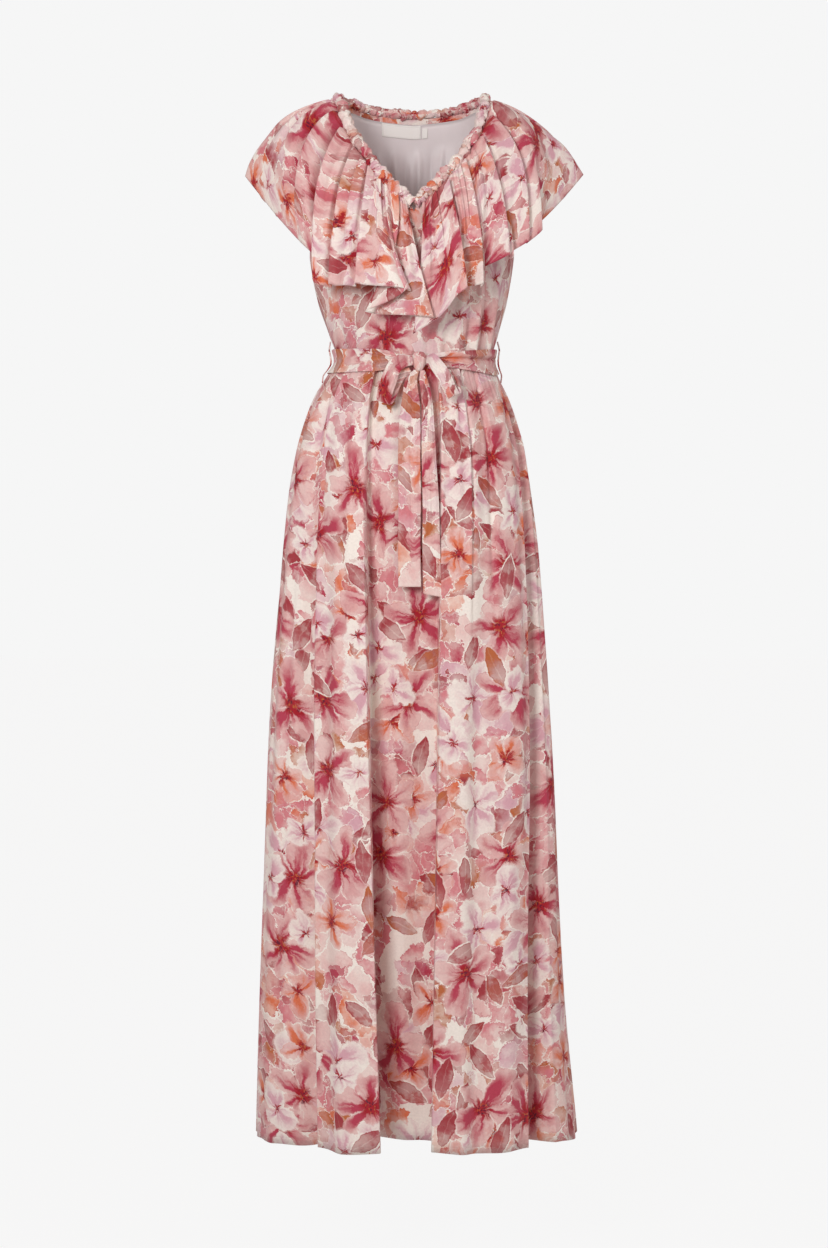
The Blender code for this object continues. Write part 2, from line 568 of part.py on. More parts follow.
def inside_pieces():
    """The lining that shows inside the back neck, the strip over its edge and the blank labels."""
    seam = BAND_DEPTH + SEAM
    on_lining = LINING_INSIDE + LINING_WALL + SEAM
    places = columns_of(BODICE_BACK_GATHERS, 2)
    angles = [evenly(BODICE_BACK_GATHERS, at, "angle") for at in places]
    back_lining([angle for angle in angles if abs(angle - 180) < 90 * SHOULDER_PART], seam)
    neck_angles = [angle for angle in angles if abs(angle - 180) < 90 * NECK_PART]
    inside_piece("neck_band", "printed_crepe", neck_angles, 1, SEAM, BAND_DEPTH, WALL + SEAM)
    label = (176, 181.7, 187.5, 193.3, 199)
    inside_piece("neck_label", "label_satin", label, 2, seam, seam + LABEL_DEPTH, on_lining)
    tab = (172.2, 175.4)
    inside_piece("size_tab", "label_satin", tab, 2, seam + 0.004, seam + LABEL_DEPTH, on_lining)


def collar(name, side, ruffles, steps, rows):
    """One half of the ruffle collar, from the centre front over the shoulder to the centre back."""
    columns = (len(ruffles) - 1) * steps

    def place(column, row):
        column = columns - column if side < 0 else column
        hem = through(ruffles, column / columns)
        return collar_point(hem.share, Vector((side * hem.x, hem.y, -hem.drop)), 1 - row / rows, side)

    def keep_side(point):
        if point.y < 0:
            return point
        return Vector((side * max(side * point.x, SEAM / 2), point.y, point.z))

    return cloth(name, columns, rows, place, FLOUNCE_WALL, keep=keep_side)


def neck_casing(name, sides, start, end, gathers, roundness=1):
    """The rolled neck edge between two shares of it, drawn in between its gathers."""
    per_gather = 3
    count = gathers * per_gather
    points = []
    for i in range(count + 1):
        along = i / count
        side = sides[0] if along < 0.5 else sides[-1]
        if len(sides) == 2:
            along = 1 - abs(2 * along - 1)
        points.append(neck_point(mix(start, end, along), side))
    swells = [CASING_PINCH if i % per_gather == 0 else 1.0 for i in range(count + 1)]
    return tube(name, points, CASING_RADIUS, swells, roundness)


def waist_belt(columns, rows):
    """The belt round the waist, over the seam."""

    def place(column, row):
        degrees = mix(-180, 180, column / columns)
        drop = mix(read(BELT, degrees, "bottom"), read(BELT, degrees, "top"), row / rows)
        return figure(math.radians(degrees), drop, BELT_STAND)

    return cloth("waist_belt", columns, rows, place, FLOUNCE_WALL, closed=True)


def belt_carrier(name, side):
    """A thread loop from the bodice's side seam to the skirt's, round the belt."""
    points = [figure(side * math.pi / 2, row.drop, row.out) for row in CARRIER]
    return tube(name, points, CARRIER_RADIUS)


def belt_knot():
    """The bow's knot, a rounded wrap of cloth with upright creases."""
    shape = bmesh.new()
    bmesh.ops.create_uvsphere(shape, u_segments=14, v_segments=7, radius=1.0)
    for vertex in shape.verts:
        crease = 1 + 0.10 * math.cos(3 * math.atan2(vertex.co.y, vertex.co.x))
        taper = 1 + 0.20 * vertex.co.z
        vertex.co.x *= crease * taper
        vertex.co = KNOT + vertex.co * KNOT_HALF
    mesh = bpy.data.meshes.new("belt_knot")
    shape.to_mesh(mesh)
    shape.free()
    mesh.shade_smooth()
    return new_object("belt_knot", mesh, "printed_crepe")


def band(name, line, steps, across):
    """A strip of the bow that follows a table of its middle line."""
    count = (len(line) - 1) * steps

    def place(column, row):
        here = through(line, row / count)
        tilt = math.radians(here.tilt)
        sideways = Vector((math.cos(tilt), 0, math.sin(tilt)))
        offset = column / across - 0.5
        crown = BAND_CROWN * (1 - (2 * offset) ** 2)
        middle = Vector((here.x, here.y - crown, -here.drop))
        return middle + sideways * here.width * offset

    return cloth(name, across, count, place, FLOUNCE_WALL)


def build():
    for leftover in list(bpy.data.objects):
        bpy.data.objects.remove(leftover)
    dress = bpy.data.collections.new("maxi_dress")
    bpy.context.scene.collection.children.link(dress)

    skirt_panel("skirt_front", SKIRT_FRONT_FOLDS, 3, 11, keep_front)
    skirt_panel("skirt_back", SKIRT_BACK_FOLDS, 3, 10, keep_back)
    bodice_panel("bodice_front", "front", BODICE_FRONT_GATHERS, 2, keep_front)
    bodice_panel("bodice_back", "back", BODICE_BACK_GATHERS, 2, keep_back)
    inside_pieces()
    collar("collar_left", -1, RUFFLES_LEFT, 2, 8)
    collar("collar_right", 1, RUFFLES_RIGHT, 2, 8)
    neck_casing("neck_casing_left", (-1,), 0.020, 0.595, 16)
    neck_casing("neck_casing_right", (1,), 0.020, 0.595, 16)
    neck_casing("neck_casing_back", (-1, 1), 0.605, 1.0, 18, 2)
    waist_belt(60, 2)
    belt_carrier("belt_carrier_left", -1)
    belt_carrier("belt_carrier_right", 1)
    belt_knot()
    band("bow_loop_left", LOOP_LEFT, 2, 3)
    band("bow_loop_right", LOOP_RIGHT, 2, 3)
    band("belt_tail_left", TAIL_LEFT, 3, 3)
    band("belt_tail_right", TAIL_RIGHT, 3, 3)


build()
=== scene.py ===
"""A floor-length dress with a V neck, a ruffle collar and a tie belt: its cloth, its print and its stage.

Metres, +Z up, the front towards -Y. Left and right are those of someone who faces the front.
A drop is how far below the shoulder seams a point lies. An angle goes round from the centre front
to the right.
"""

import math
from collections import namedtuple
from functools import lru_cache

import bmesh
import bpy
import numpy as np
from bpy.props import FloatProperty, FloatVectorProperty, IntProperty, PointerProperty
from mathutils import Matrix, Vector, noise


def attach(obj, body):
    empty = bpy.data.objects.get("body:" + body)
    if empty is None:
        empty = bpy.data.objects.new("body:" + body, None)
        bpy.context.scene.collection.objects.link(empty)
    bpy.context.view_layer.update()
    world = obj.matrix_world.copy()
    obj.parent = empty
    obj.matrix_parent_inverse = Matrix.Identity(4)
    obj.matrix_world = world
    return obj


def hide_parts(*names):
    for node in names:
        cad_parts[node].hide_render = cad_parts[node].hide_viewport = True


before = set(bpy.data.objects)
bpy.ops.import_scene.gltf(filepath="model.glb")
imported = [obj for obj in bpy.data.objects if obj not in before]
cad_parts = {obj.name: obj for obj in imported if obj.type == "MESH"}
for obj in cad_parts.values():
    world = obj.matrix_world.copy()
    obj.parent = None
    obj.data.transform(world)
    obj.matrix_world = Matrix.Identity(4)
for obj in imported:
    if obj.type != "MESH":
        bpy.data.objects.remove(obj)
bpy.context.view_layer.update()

bl_info = {
    "name": "Ruffle Collar Maxi Dress",
    "version": (1, 0, 0),
    "blender": (4, 5, 0),
    "location": "3D View > Sidebar > Dress",
    "description": "Builds the cloth, print and stage of a floor-length dress over its frame",
    "category": "Object",
}

# Cut and drape
SEAM = 0.0002            # what is left between two panels at a seam
HEM_DROP = 1.476         # shoulder seam to hem
WAIST_DROP = 0.3785      # shoulder seam to waist seam, at the sides
WAIST_DIP = 0.010        # how much lower the waist seam is at the centre front
CASING_RADIUS = 0.0058   # the rolled, elasticated neck edge
TUCK = 0.0005            # how far the collar and bodice reach into it
CASING_SEAM = 0.0024     # how far over it the collar is sewn on, and the bodice under it
BELT_STAND = 0.0054      # from the cloth at the waist to the belt's face
CARRIER_RADIUS = 0.0013  # a thread loop at each side seam that the belt runs through
CARRIER_LINKS = 22       # links in its chain of thread
CARRIER_WALL = 0.0004
BAND_DEPTH = 0.0085      # the strip inside the back neck
LABEL_DEPTH = 0.0190     # the label and size tab, below that strip
LABEL_ANGLES = (176, 199)        # from where to where round the back, in degrees
TAB_ANGLES = (172.2, 175.4)
TAB_LOWER = 0.004        # how far lower the tab starts than the label
LINING_INSIDE = 0.0045   # from the bodice's outer face to its lining
LINING_HEM_RISE = 0.03   # how far over the waist seam it ends, as a share of the bodice's height
V_PART = 0.10            # the share of the front neck edge that the bodice rounds off below the V
V_BACK_PART = 0.40       # and the share over which it lies back there, under the collar
V_DIP = 0.004            # how far its middle point drops and lies back


def listed(kind, *values):
    """A table whose rows are all of one kind."""
    return tuple(kind(*row) for row in values)


# The general figure that fills the dress: half widths and depths at each drop.
Section = namedtuple("Section", "drop left right front back")
FIGURE = listed(
    Section,
    (0, 0.168, 0.165, 0.08, 0.07), (0.1, 0.158, 0.155, 0.101, 0.09),
    (0.175, 0.152, 0.147, 0.114, 0.097), (0.225, 0.149, 0.143, 0.118, 0.097),
    (0.29, 0.1375, 0.133, 0.109, 0.09), (0.34, 0.1206, 0.1197, 0.096, 0.082),
    (0.3785, 0.1088, 0.1105, 0.089, 0.078), (0.4, 0.1238, 0.1186, 0.093, 0.087),
    (0.432, 0.1425, 0.133, 0.102, 0.099), (0.4745, 0.1577, 0.1475, 0.111, 0.11),
    (0.503, 0.1655, 0.1558, 0.115, 0.115), (0.574, 0.178, 0.1665, 0.12, 0.123),
    (0.717, 0.191, 0.18, 0.12, 0.128), (0.945, 0.2058, 0.1955, 0.116, 0.13),
    (1.287, 0.2178, 0.2112, 0.111, 0.13), (1.476, 0.2205, 0.227, 0.11, 0.13),
)

# The neck edge from centre front (share 0) over the shoulder (0.6) to centre back (1).
SHOULDER_SHARE = 0.6     # of the neck edge, where the shoulder seam meets it
Neck = namedtuple("Neck", "share left right y drop")
NECK = listed(
    Neck,
    (0, 0, 0, -0.124, 0.1746), (0.08, 0.016, 0.0145, -0.1215, 0.16),
    (0.18, 0.036, 0.034, -0.113, 0.14), (0.28, 0.0545, 0.053, -0.098, 0.116),
    (0.38, 0.0725, 0.0725, -0.075, 0.087), (0.46, 0.09, 0.091, -0.046, 0.0525),
    (0.54, 0.1025, 0.1005, -0.018, 0.0135), (0.6, 0.108, 0.101, 0, 0.0025),
    (0.68, 0.094, 0.091, 0.028, 0.0025), (0.78, 0.068, 0.068, 0.054, 0.0068),
    (0.89, 0.036, 0.036, 0.063, 0.0105), (1, 0, 0, 0.066, 0.0133),
)

# The armhole of one side, from the shoulder seam's outer end (share 0) down to the side seam.
# Reach is its distance from the centre as a share of the figure's half width there.
Armhole = namedtuple("Armhole", "share reach front back drop")
ARMHOLE = listed(
    Armhole,
    (0, 0.805, 0, 0, 0.024), (0.2, 0.825, -0.033, 0.038, 0.062), (0.45, 0.85, -0.056, 0.059, 0.11),
    (0.65, 0.88, -0.055, 0.056, 0.16), (0.82, 0.945, -0.039, 0.039, 0.202),
    (0.93, 0.992, -0.017, 0.015, 0.225), (1, 1, 0, 0, 0.23),
)

# Shares of half a bodice panel's top edge: the neck edge, then the shoulder seam, then the armhole.
NECK_PART = 0.56
SHOULDER_PART = 0.70
BODICE_ROWS = 8          # steps up the bodice, the width of one of which gives its slope
ARMHOLE_FAN = 0.15       # how far the cloth's length swings inwards before it fans out to the armhole
OVER_SHOULDER = 4        # how late the bodice turns from upright to lying on the shoulder

# The ruffle collar's hem, a row for each turn of its folds, from centre front to centre back.
# Share is where the same line of cloth leaves the neck edge, and x is positive away from the centre.
Ruffle = namedtuple("Ruffle", "share x y drop")
RUFFLES_LEFT = listed(
    Ruffle,
    (0.03, -0.0272, -0.149, 0.3335), (0.055, -0.003, -0.142, 0.33), (0.078, 0.0218, -0.133, 0.328),
    (0.098, 0.0465, -0.128, 0.326), (0.12, 0.068, -0.1345, 0.324), (0.145, 0.036, -0.143, 0.311),
    (0.17, 0.0068, -0.151, 0.2965), (0.195, 0.017, -0.159, 0.294), (0.222, 0.0394, -0.157, 0.2925),
    (0.25, 0.06, -0.15, 0.29), (0.28, 0.0766, -0.141, 0.288), (0.33, 0.094, -0.142, 0.2885),
    (0.385, 0.113, -0.125, 0.2872), (0.42, 0.125, -0.127, 0.286), (0.445, 0.134, -0.118, 0.2835),
    (0.468, 0.124, -0.108, 0.262), (0.49, 0.14, -0.097, 0.239), (0.515, 0.164, -0.08, 0.214),
    (0.545, 0.196, -0.048, 0.175), (0.575, 0.22, -0.024, 0.1425), (0.6, 0.2415, 0, 0.1125),
    (0.63, 0.227, 0.022, 0.1285), (0.66, 0.218, 0.042, 0.14), (0.69, 0.201, 0.052, 0.15),
    (0.72, 0.199, 0.078, 0.158), (0.752, 0.176, 0.078, 0.165), (0.78, 0.176, 0.106, 0.171),
    (0.812, 0.143, 0.099, 0.177), (0.845, 0.13, 0.127, 0.182), (0.878, 0.095, 0.1205, 0.187),
    (0.91, 0.075, 0.14, 0.191), (0.945, 0.048, 0.131, 0.195), (0.975, 0.024, 0.143, 0.199),
    (1, 0, 0.137, 0.201),
)
RUFFLES_RIGHT = listed(
    Ruffle,
    (0.03, -0.0014, -0.134, 0.354), (0.06, 0.015, -0.135, 0.344), (0.095, 0.0323, -0.139, 0.333),
    (0.135, 0.0477, -0.146, 0.3175), (0.17, 0.06, -0.152, 0.302), (0.205, 0.0723, -0.148, 0.2927),
    (0.23, 0.062, -0.14, 0.29), (0.255, 0.059, -0.131, 0.289), (0.3, 0.079, -0.129, 0.2875),
    (0.35, 0.0972, -0.129, 0.2865), (0.375, 0.087, -0.12, 0.272), (0.395, 0.091, -0.111, 0.262),
    (0.418, 0.118, -0.113, 0.25), (0.44, 0.1418, -0.112, 0.2418), (0.458, 0.131, -0.1035, 0.238),
    (0.474, 0.137, -0.094, 0.234), (0.495, 0.162, -0.093, 0.2195), (0.52, 0.18, -0.084, 0.2022),
    (0.538, 0.17, -0.0745, 0.196), (0.553, 0.176, -0.064, 0.19), (0.568, 0.198, -0.045, 0.166),
    (0.585, 0.221, -0.023, 0.138), (0.6, 0.2417, 0, 0.1105), (0.628, 0.225, 0.024, 0.127),
    (0.655, 0.213, 0.046, 0.139), (0.69, 0.194, 0.053, 0.149), (0.722, 0.19, 0.084, 0.158),
    (0.756, 0.17, 0.081, 0.166), (0.79, 0.168, 0.11, 0.173), (0.824, 0.133, 0.103, 0.179),
    (0.86, 0.113, 0.131, 0.185), (0.9, 0.08, 0.127, 0.19), (0.935, 0.056, 0.14, 0.195),
    (0.97, 0.027, 0.133, 0.199), (1, 0, 0.137, 0.201),
)

FOLD_SPAN = 0.10         # the share of the neck edge on each side over which its folds even out
SHOULDER_PUFF = 0.018    # how far the collar rounds out over the shoulder
PUFF_SPAN = 0.14         # the share of the neck edge on either side over which it does
PUFF_FALL = 0.75         # how near the neck: 1 puts it halfway down, and less puts it nearer

# How far the collar rises over the straight line from neck edge to hem, on the bust and shoulder.
Rise = namedtuple("Rise", "share left right")
COLLAR_RISE = listed(
    Rise,
    (0, 0.014, 0.014), (0.2, 0.027, 0.027), (0.45, 0.04, 0.034), (0.6, 0.049, 0.036),
    (0.75, 0.038, 0.034), (1, 0.026, 0.026),
)

# The skirt's folds, a row for each crest, edge and hollow. Angles are degrees round from the
# centre front to the right; out and along are at the hem, and grow from the waist down.
Pleat = namedtuple("Pleat", "waist_angle hem_angle waist_out hem_out hem_along")
SKIRT_FRONT_FOLDS = listed(
    Pleat,
    (-90, -90, 0, 0, 0), (-78, -71, 0.001, 0.008, 0), (-66, -54, 0.001, 0.004, 0),
    (-57, -38.5, -0.001, -0.018, 0.002), (-51, -34, 0, 0.014, -0.004), (-40, -25, 0.001, 0.03, 0),
    (-29, -15, 0.0015, 0.026, 0.014), (-25, -10, -0.0015, -0.084, -0.026), (-8, -3, -0.001, -0.06, 0),
    (14, 4.5, -0.001, -0.052, 0.012), (19, 8.5, 0.001, 0.02, -0.01), (30, 15, 0.001, 0.032, 0),
    (42, 24, -0.001, 0.02, 0), (58, 33, 0.001, 0.032, 0), (74, 40, 0.001, 0.02, 0.005),
    (78, 44.5, -0.001, -0.078, -0.004), (81, 49, 0, -0.03, -0.005), (85, 57, 0.001, 0.016, 0),
    (88, 73, 0, 0.006, 0), (90, 90, 0, 0, 0),
)
SKIRT_BACK_FOLDS = listed(
    Pleat,
    (90, 90, 0, 0, 0), (103, 101, 0.001, 0.01, 0), (115, 112, -0.001, -0.022, 0),
    (127, 123, 0.001, 0.026, -0.004), (139, 136, 0, 0.012, 0), (149, 147, -0.001, -0.036, 0.004),
    (160, 158, 0.001, 0.028, -0.003), (172, 171, 0, 0.016, 0), (181, 180, -0.001, -0.036, 0),
    (190, 190, 0.001, 0.028, 0.004), (203, 205, 0, 0.008, 0), (213, 216, -0.001, -0.032, -0.003),
    (226, 230, 0.001, 0.026, 0.003), (240, 245, -0.001, -0.016, 0), (254, 257, 0.001, 0.012, 0),
    (270, 270, 0, 0, 0),
)
ROWS_TO_HIP = 1.4        # the skirt's rows lie closer together at the hips, where it curves
ANGLE_GROWTH = 0.55      # how soon a fold swings from its place at the waist to that at the hem
FOLD_GROWTH = 0.85       # how soon it deepens

# The bodice's gathers, by their angle at the waist.
Gather = namedtuple("Gather", "angle out")
BODICE_FRONT_GATHERS = listed(
    Gather,
    (-90, 0), (-79, 0.0005), (-70, -0.0005), (-60, 0.001), (-50, -0.002), (-40, 0.002),
    (-30, -0.0035), (-20, 0.003), (-10, -0.001), (0, 0.0015), (10, -0.0015), (20, 0.002),
    (29, -0.002), (38, 0.003), (46, -0.003), (54, 0.0025), (62, -0.001), (70, 0.0008), (77, -0.0005),
    (83, 0.0003), (90, 0),
)
BODICE_BACK_GATHERS = listed(
    Gather,
    (90, 0), (101, 0.002), (112, -0.002), (124, 0.0025), (135, -0.0025), (147, 0.003), (158, -0.002),
    (169, 0.0025), (180, -0.002), (192, 0.0025), (203, -0.0025), (214, 0.003), (226, -0.0025),
    (238, 0.002), (250, -0.002), (260, 0.0015), (270, 0),
)

# The belt's upper and lower edge round the waist: drawn together at the knot, loose at one side.
BeltEdge = namedtuple("BeltEdge", "angle top bottom")
BELT = listed(
    BeltEdge,
    (-180, 0.362, 0.394), (-90, 0.361, 0.3945), (-55, 0.365, 0.3985), (-25, 0.369, 0.4),
    (-8, 0.377, 0.393), (0, 0.379, 0.392), (10, 0.377, 0.393), (25, 0.372, 0.395),
    (45, 0.3685, 0.3985), (66, 0.364, 0.401), (90, 0.361, 0.395), (130, 0.361, 0.3945),
    (180, 0.362, 0.394),
)

# The thread loop that carries the belt at a side seam.
Carrier = namedtuple("Carrier", "drop out")
CARRIER = listed(
    Carrier,
    (0.349, 0.0018), (0.353, 0.004), (0.3575, 0.0066), (0.364, 0.0088), (0.38, 0.0094),
    (0.39, 0.0086), (0.3975, 0.0072), (0.407, 0.0021),
)

# The bow's bands: the middle line, the width, and the tilt of that width from the horizontal.
KNOT = Vector((0.0068, -0.1028, -0.3880))
KNOT_HALF = Vector((0.0085, 0.0065, 0.0135))
Band = namedtuple("Band", "x y drop width tilt")
LOOP_LEFT = listed(
    Band,
    (-0.0018, -0.1032, 0.388, 0.01, -86), (-0.015, -0.113, 0.389, 0.018, -68),
    (-0.027, -0.121, 0.399, 0.021, -46), (-0.035, -0.126, 0.418, 0.022, -28),
    (-0.04, -0.128, 0.437, 0.021, -20), (-0.041, -0.124, 0.447, 0.02, -20),
    (-0.037, -0.119, 0.442, 0.019, -22), (-0.029, -0.114, 0.426, 0.017, -30),
    (-0.019, -0.109, 0.409, 0.014, -42), (-0.006, -0.103, 0.4, 0.009, -55),
)
LOOP_RIGHT = listed(
    Band,
    (0.0168, -0.1035, 0.386, 0.01, 84), (0.025, -0.115, 0.386, 0.016, 62),
    (0.034, -0.122, 0.398, 0.019, 40), (0.043, -0.127, 0.415, 0.019, 30),
    (0.051, -0.129, 0.431, 0.018, 27), (0.056, -0.125, 0.438, 0.018, 26),
    (0.057, -0.119, 0.431, 0.017, 26), (0.051, -0.114, 0.413, 0.016, 34),
    (0.038, -0.109, 0.4, 0.012, 50), (0.02, -0.103, 0.393, 0.009, 66),
)
TAIL_LEFT = listed(
    Band,
    (0.0028, -0.1034, 0.4008, 0.007, -14), (-0.0035, -0.111, 0.42, 0.018, -8),
    (-0.005, -0.117, 0.47, 0.029, 0), (-0.006, -0.1205, 0.54, 0.031, 2),
    (-0.0065, -0.121, 0.62, 0.031, 0), (-0.0065, -0.1205, 0.7, 0.031, 0),
)
TAIL_RIGHT = listed(
    Band,
    (0.0108, -0.1034, 0.4008, 0.006, 14), (0.015, -0.111, 0.42, 0.012, 8),
    (0.0195, -0.1175, 0.47, 0.017, 0), (0.022, -0.121, 0.55, 0.021, 0),
    (0.0235, -0.122, 0.63, 0.024, -4), (0.025, -0.1225, 0.712, 0.026, -10),
)
BAND_CROWN = 0.0012      # how far a band's middle stands out over its edges
# A band's long creases: their share of the way across from its middle, and how far they stand out.
BAND_CREASES = ((-0.26, 0.0016), (0.04, -0.0020), (0.30, 0.0014))
BAND_CREASE_WIDTH = 0.07

# What the solids leave out: soft troughs and ridges of the skirt, by the angle at the hem.
# Width is in degrees, and depth is positive where the cloth stands out.
Crease = namedtuple("Crease", "angle start end width depth")
SKIRT_CREASES = listed(
    Crease,
    (-62, 0.1, 1, 5, 0.004), (-45, 0.02, 0.45, 3, -0.004), (-29, 0.3, 1, 2.6, -0.004),
    (-20, 0, 0.35, 2, 0.003), (-6, 0.1, 0.8, 3, 0.005), (1, 0.35, 1, 2.4, -0.005),
    (13, 0, 0.16, 1.2, 0.0035), (20, 0.45, 1, 2.5, -0.004), (27, 0, 0.22, 1.2, -0.004),
    (36, 0, 0.55, 2, 0.003), (53, 0.08, 0.6, 2.5, -0.004), (65, 0.25, 1, 4, 0.004),
    (107, 0.05, 0.7, 3, 0.004), (118, 0.3, 1, 3, 0.005), (141, 0, 0.5, 2.5, -0.004),
    (165, 0.2, 0.9, 3, 0.004), (186, 0.35, 1, 3, -0.004), (197, 0, 0.6, 2.4, 0.004),
    (222, 0.15, 0.85, 3, -0.005), (236, 0, 0.4, 2.4, 0.003), (250, 0.3, 1, 3.5, 0.004),
)
# The collar's crisp folds: their share of the neck edge, from where to where they run down the
# collar, their half width as a share of the neck edge, and their depth. The fold stands out on the
# side nearer the centre front, and sinks on the other; a negative depth turns that round.
Fold = namedtuple("Fold", "share start end width depth")
FOLD_CRISP = 1.6         # how sharply a fold steps from its crest to its hollow
FOLD_FADE = 0.25         # the share of the fall over which it fades out
FOLD_LEAN = 0.45         # how far its crest leans over the hollow, as a share of its depth
COLLAR_FOLDS_LEFT = listed(
    Fold,
    (0.052, 0, 0.6, 0.008, 0.004), (0.105, 0, 0.95, 0.009, -0.008), (0.172, 0, 1, 0.009, 0.009),
    (0.198, 0, 0.3, 0.007, -0.003), (0.232, 0, 0.4, 0.008, 0.003), (0.29, 0, 0.95, 0.01, 0.008),
    (0.306, 0, 0.5, 0.008, -0.004), (0.345, 0, 0.5, 0.008, 0.005), (0.392, 0, 0.95, 0.01, 0.009),
    (0.412, 0, 0.55, 0.01, -0.005), (0.434, 0.05, 0.45, 0.008, -0.004), (0.458, 0, 1, 0.009, 0.013),
    (0.478, 0, 0.7, 0.01, -0.009), (0.508, 0, 0.8, 0.008, 0.01), (0.524, 0, 0.6, 0.008, -0.009),
    (0.55, 0, 0.5, 0.008, 0.008), (0.564, 0, 0.38, 0.008, -0.007), (0.592, 0, 0.36, 0.009, -0.005),
    (0.64, 0, 0.6, 0.01, 0.006), (0.705, 0, 0.85, 0.01, -0.008), (0.76, 0.05, 0.6, 0.01, 0.006),
    (0.815, 0, 0.9, 0.01, 0.008), (0.872, 0, 0.6, 0.012, -0.004), (0.93, 0, 0.85, 0.012, 0.004),
    (0.97, 0.05, 0.5, 0.012, -0.002),
)
COLLAR_FOLDS_RIGHT = listed(
    Fold,
    (0.072, 0, 0.55, 0.008, -0.005), (0.126, 0, 0.35, 0.009, 0.004), (0.196, 0, 1, 0.009, 0.011),
    (0.224, 0, 0.3, 0.008, -0.003), (0.258, 0, 0.6, 0.009, -0.005), (0.298, 0, 0.35, 0.008, 0.003),
    (0.334, 0, 1, 0.01, 0.009), (0.378, 0, 0.4, 0.009, -0.004), (0.43, 0, 1, 0.009, 0.01),
    (0.462, 0, 0.5, 0.007, -0.005), (0.493, 0, 1, 0.009, 0.011), (0.53, 0.03, 0.5, 0.01, -0.003),
    (0.566, 0, 0.6, 0.01, 0.006), (0.61, 0, 0.45, 0.01, -0.005), (0.668, 0, 0.75, 0.01, 0.006),
    (0.722, 0.05, 0.6, 0.01, -0.006), (0.778, 0, 0.9, 0.01, 0.008), (0.835, 0, 0.5, 0.01, 0.006),
    (0.89, 0, 0.85, 0.014, -0.002), (0.94, 0, 0.6, 0.012, 0.004),
)
# The skirt's crisp pleats below the waist, in the same way, by the angle at the hem.
SKIRT_PLEATS = listed(
    Fold,
    (-12.5, 0, 0.6, 0.9, 0.006), (6.5, 0, 0.6, 0.9, -0.005), (17.5, 0, 0.16, 0.8, 0.004),
    (28, 0, 0.1, 0.8, -0.003), (42.5, 0, 0.5, 0.9, 0.005), (-36, 0.05, 0.4, 0.9, -0.004),
    (130, 0, 0.35, 1.2, 0.004), (152, 0, 0.5, 1.2, -0.005), (176, 0, 0.45, 1.2, 0.005),
    (211, 0, 0.5, 1.2, 0.005), (237, 0, 0.35, 1.2, -0.004),
)
# Folds of the bodice below the collar and of its back, by the angle at the waist.
BODICE_CREASES = listed(
    Crease,
    (-62, 0, 0.8, 4, -0.003), (-38, 0, 0.7, 3, -0.0045), (-24, 0, 0.55, 2.4, 0.0036),
    (-14, 0, 0.45, 2, -0.003), (6, 0, 0.5, 2.2, 0.0033), (24, 0, 0.6, 2.4, -0.0039),
    (33, 0, 0.75, 2.2, 0.0042), (42, 0, 0.8, 2.2, -0.0054), (50, 0, 0.85, 2.2, 0.0051),
    (58, 0, 0.7, 2.2, -0.0045), (70, 0, 0.9, 3, 0.0036), (112, 0, 0.7, 3, -0.0036),
    (130, 0, 0.6, 3, 0.0036), (152, 0, 0.8, 3, -0.0039), (171, 0, 0.7, 2.6, 0.0039),
    (189, 0, 0.75, 2.6, -0.0036), (208, 0, 0.6, 3, 0.0039), (232, 0, 0.8, 3, -0.0036),
    (246, 0, 0.6, 3, 0.003),
)
# The lining's hanging folds, by their angle round the back.
LINING_FOLDS = listed(
    Crease,
    (152, 0, 0.8, 2.2, 0.005), (163, 0, 0.86, 1.6, 0.008), (170, 0, 0.8, 1.6, -0.003),
    (177, 0, 0.84, 1.6, 0.0085), (185, 0, 0.8, 1.6, -0.003), (191, 0, 0.86, 1.6, 0.008),
    (202, 0, 0.8, 2.2, 0.0055),
)
# The belt's own folds: a ridge or trough along it, its height on the belt from 0 at the lower edge.
BeltFold = namedtuple("BeltFold", "start end at_start at_end width depth")
BELT_FOLDS = listed(
    BeltFold,
    (4, 92, 0.55, 0.62, 0.05, -0.0034), (4, 80, 0.7, 0.78, 0.08, 0.0026),
    (2, 46, 0.3, 0.18, 0.06, -0.0026), (4, 30, 0.44, 0.34, 0.05, 0.002),
    (-40, 0, 0.9, 0.66, 0.06, -0.003), (-34, 0, 0.72, 0.54, 0.05, 0.0024),
    (-52, -2, 0.4, 0.44, 0.05, -0.0028), (-30, 0, 0.22, 0.32, 0.05, 0.0022),
    (-24, 0, 0.08, 0.2, 0.05, -0.0022), (110, 170, 0.35, 0.55, 0.1, -0.0014),
    (-160, -95, 0.6, 0.4, 0.1, -0.0014),
)
# The three cloths.
CREPE, LINING, LABEL = "printed_crepe", "lining", "label_satin"

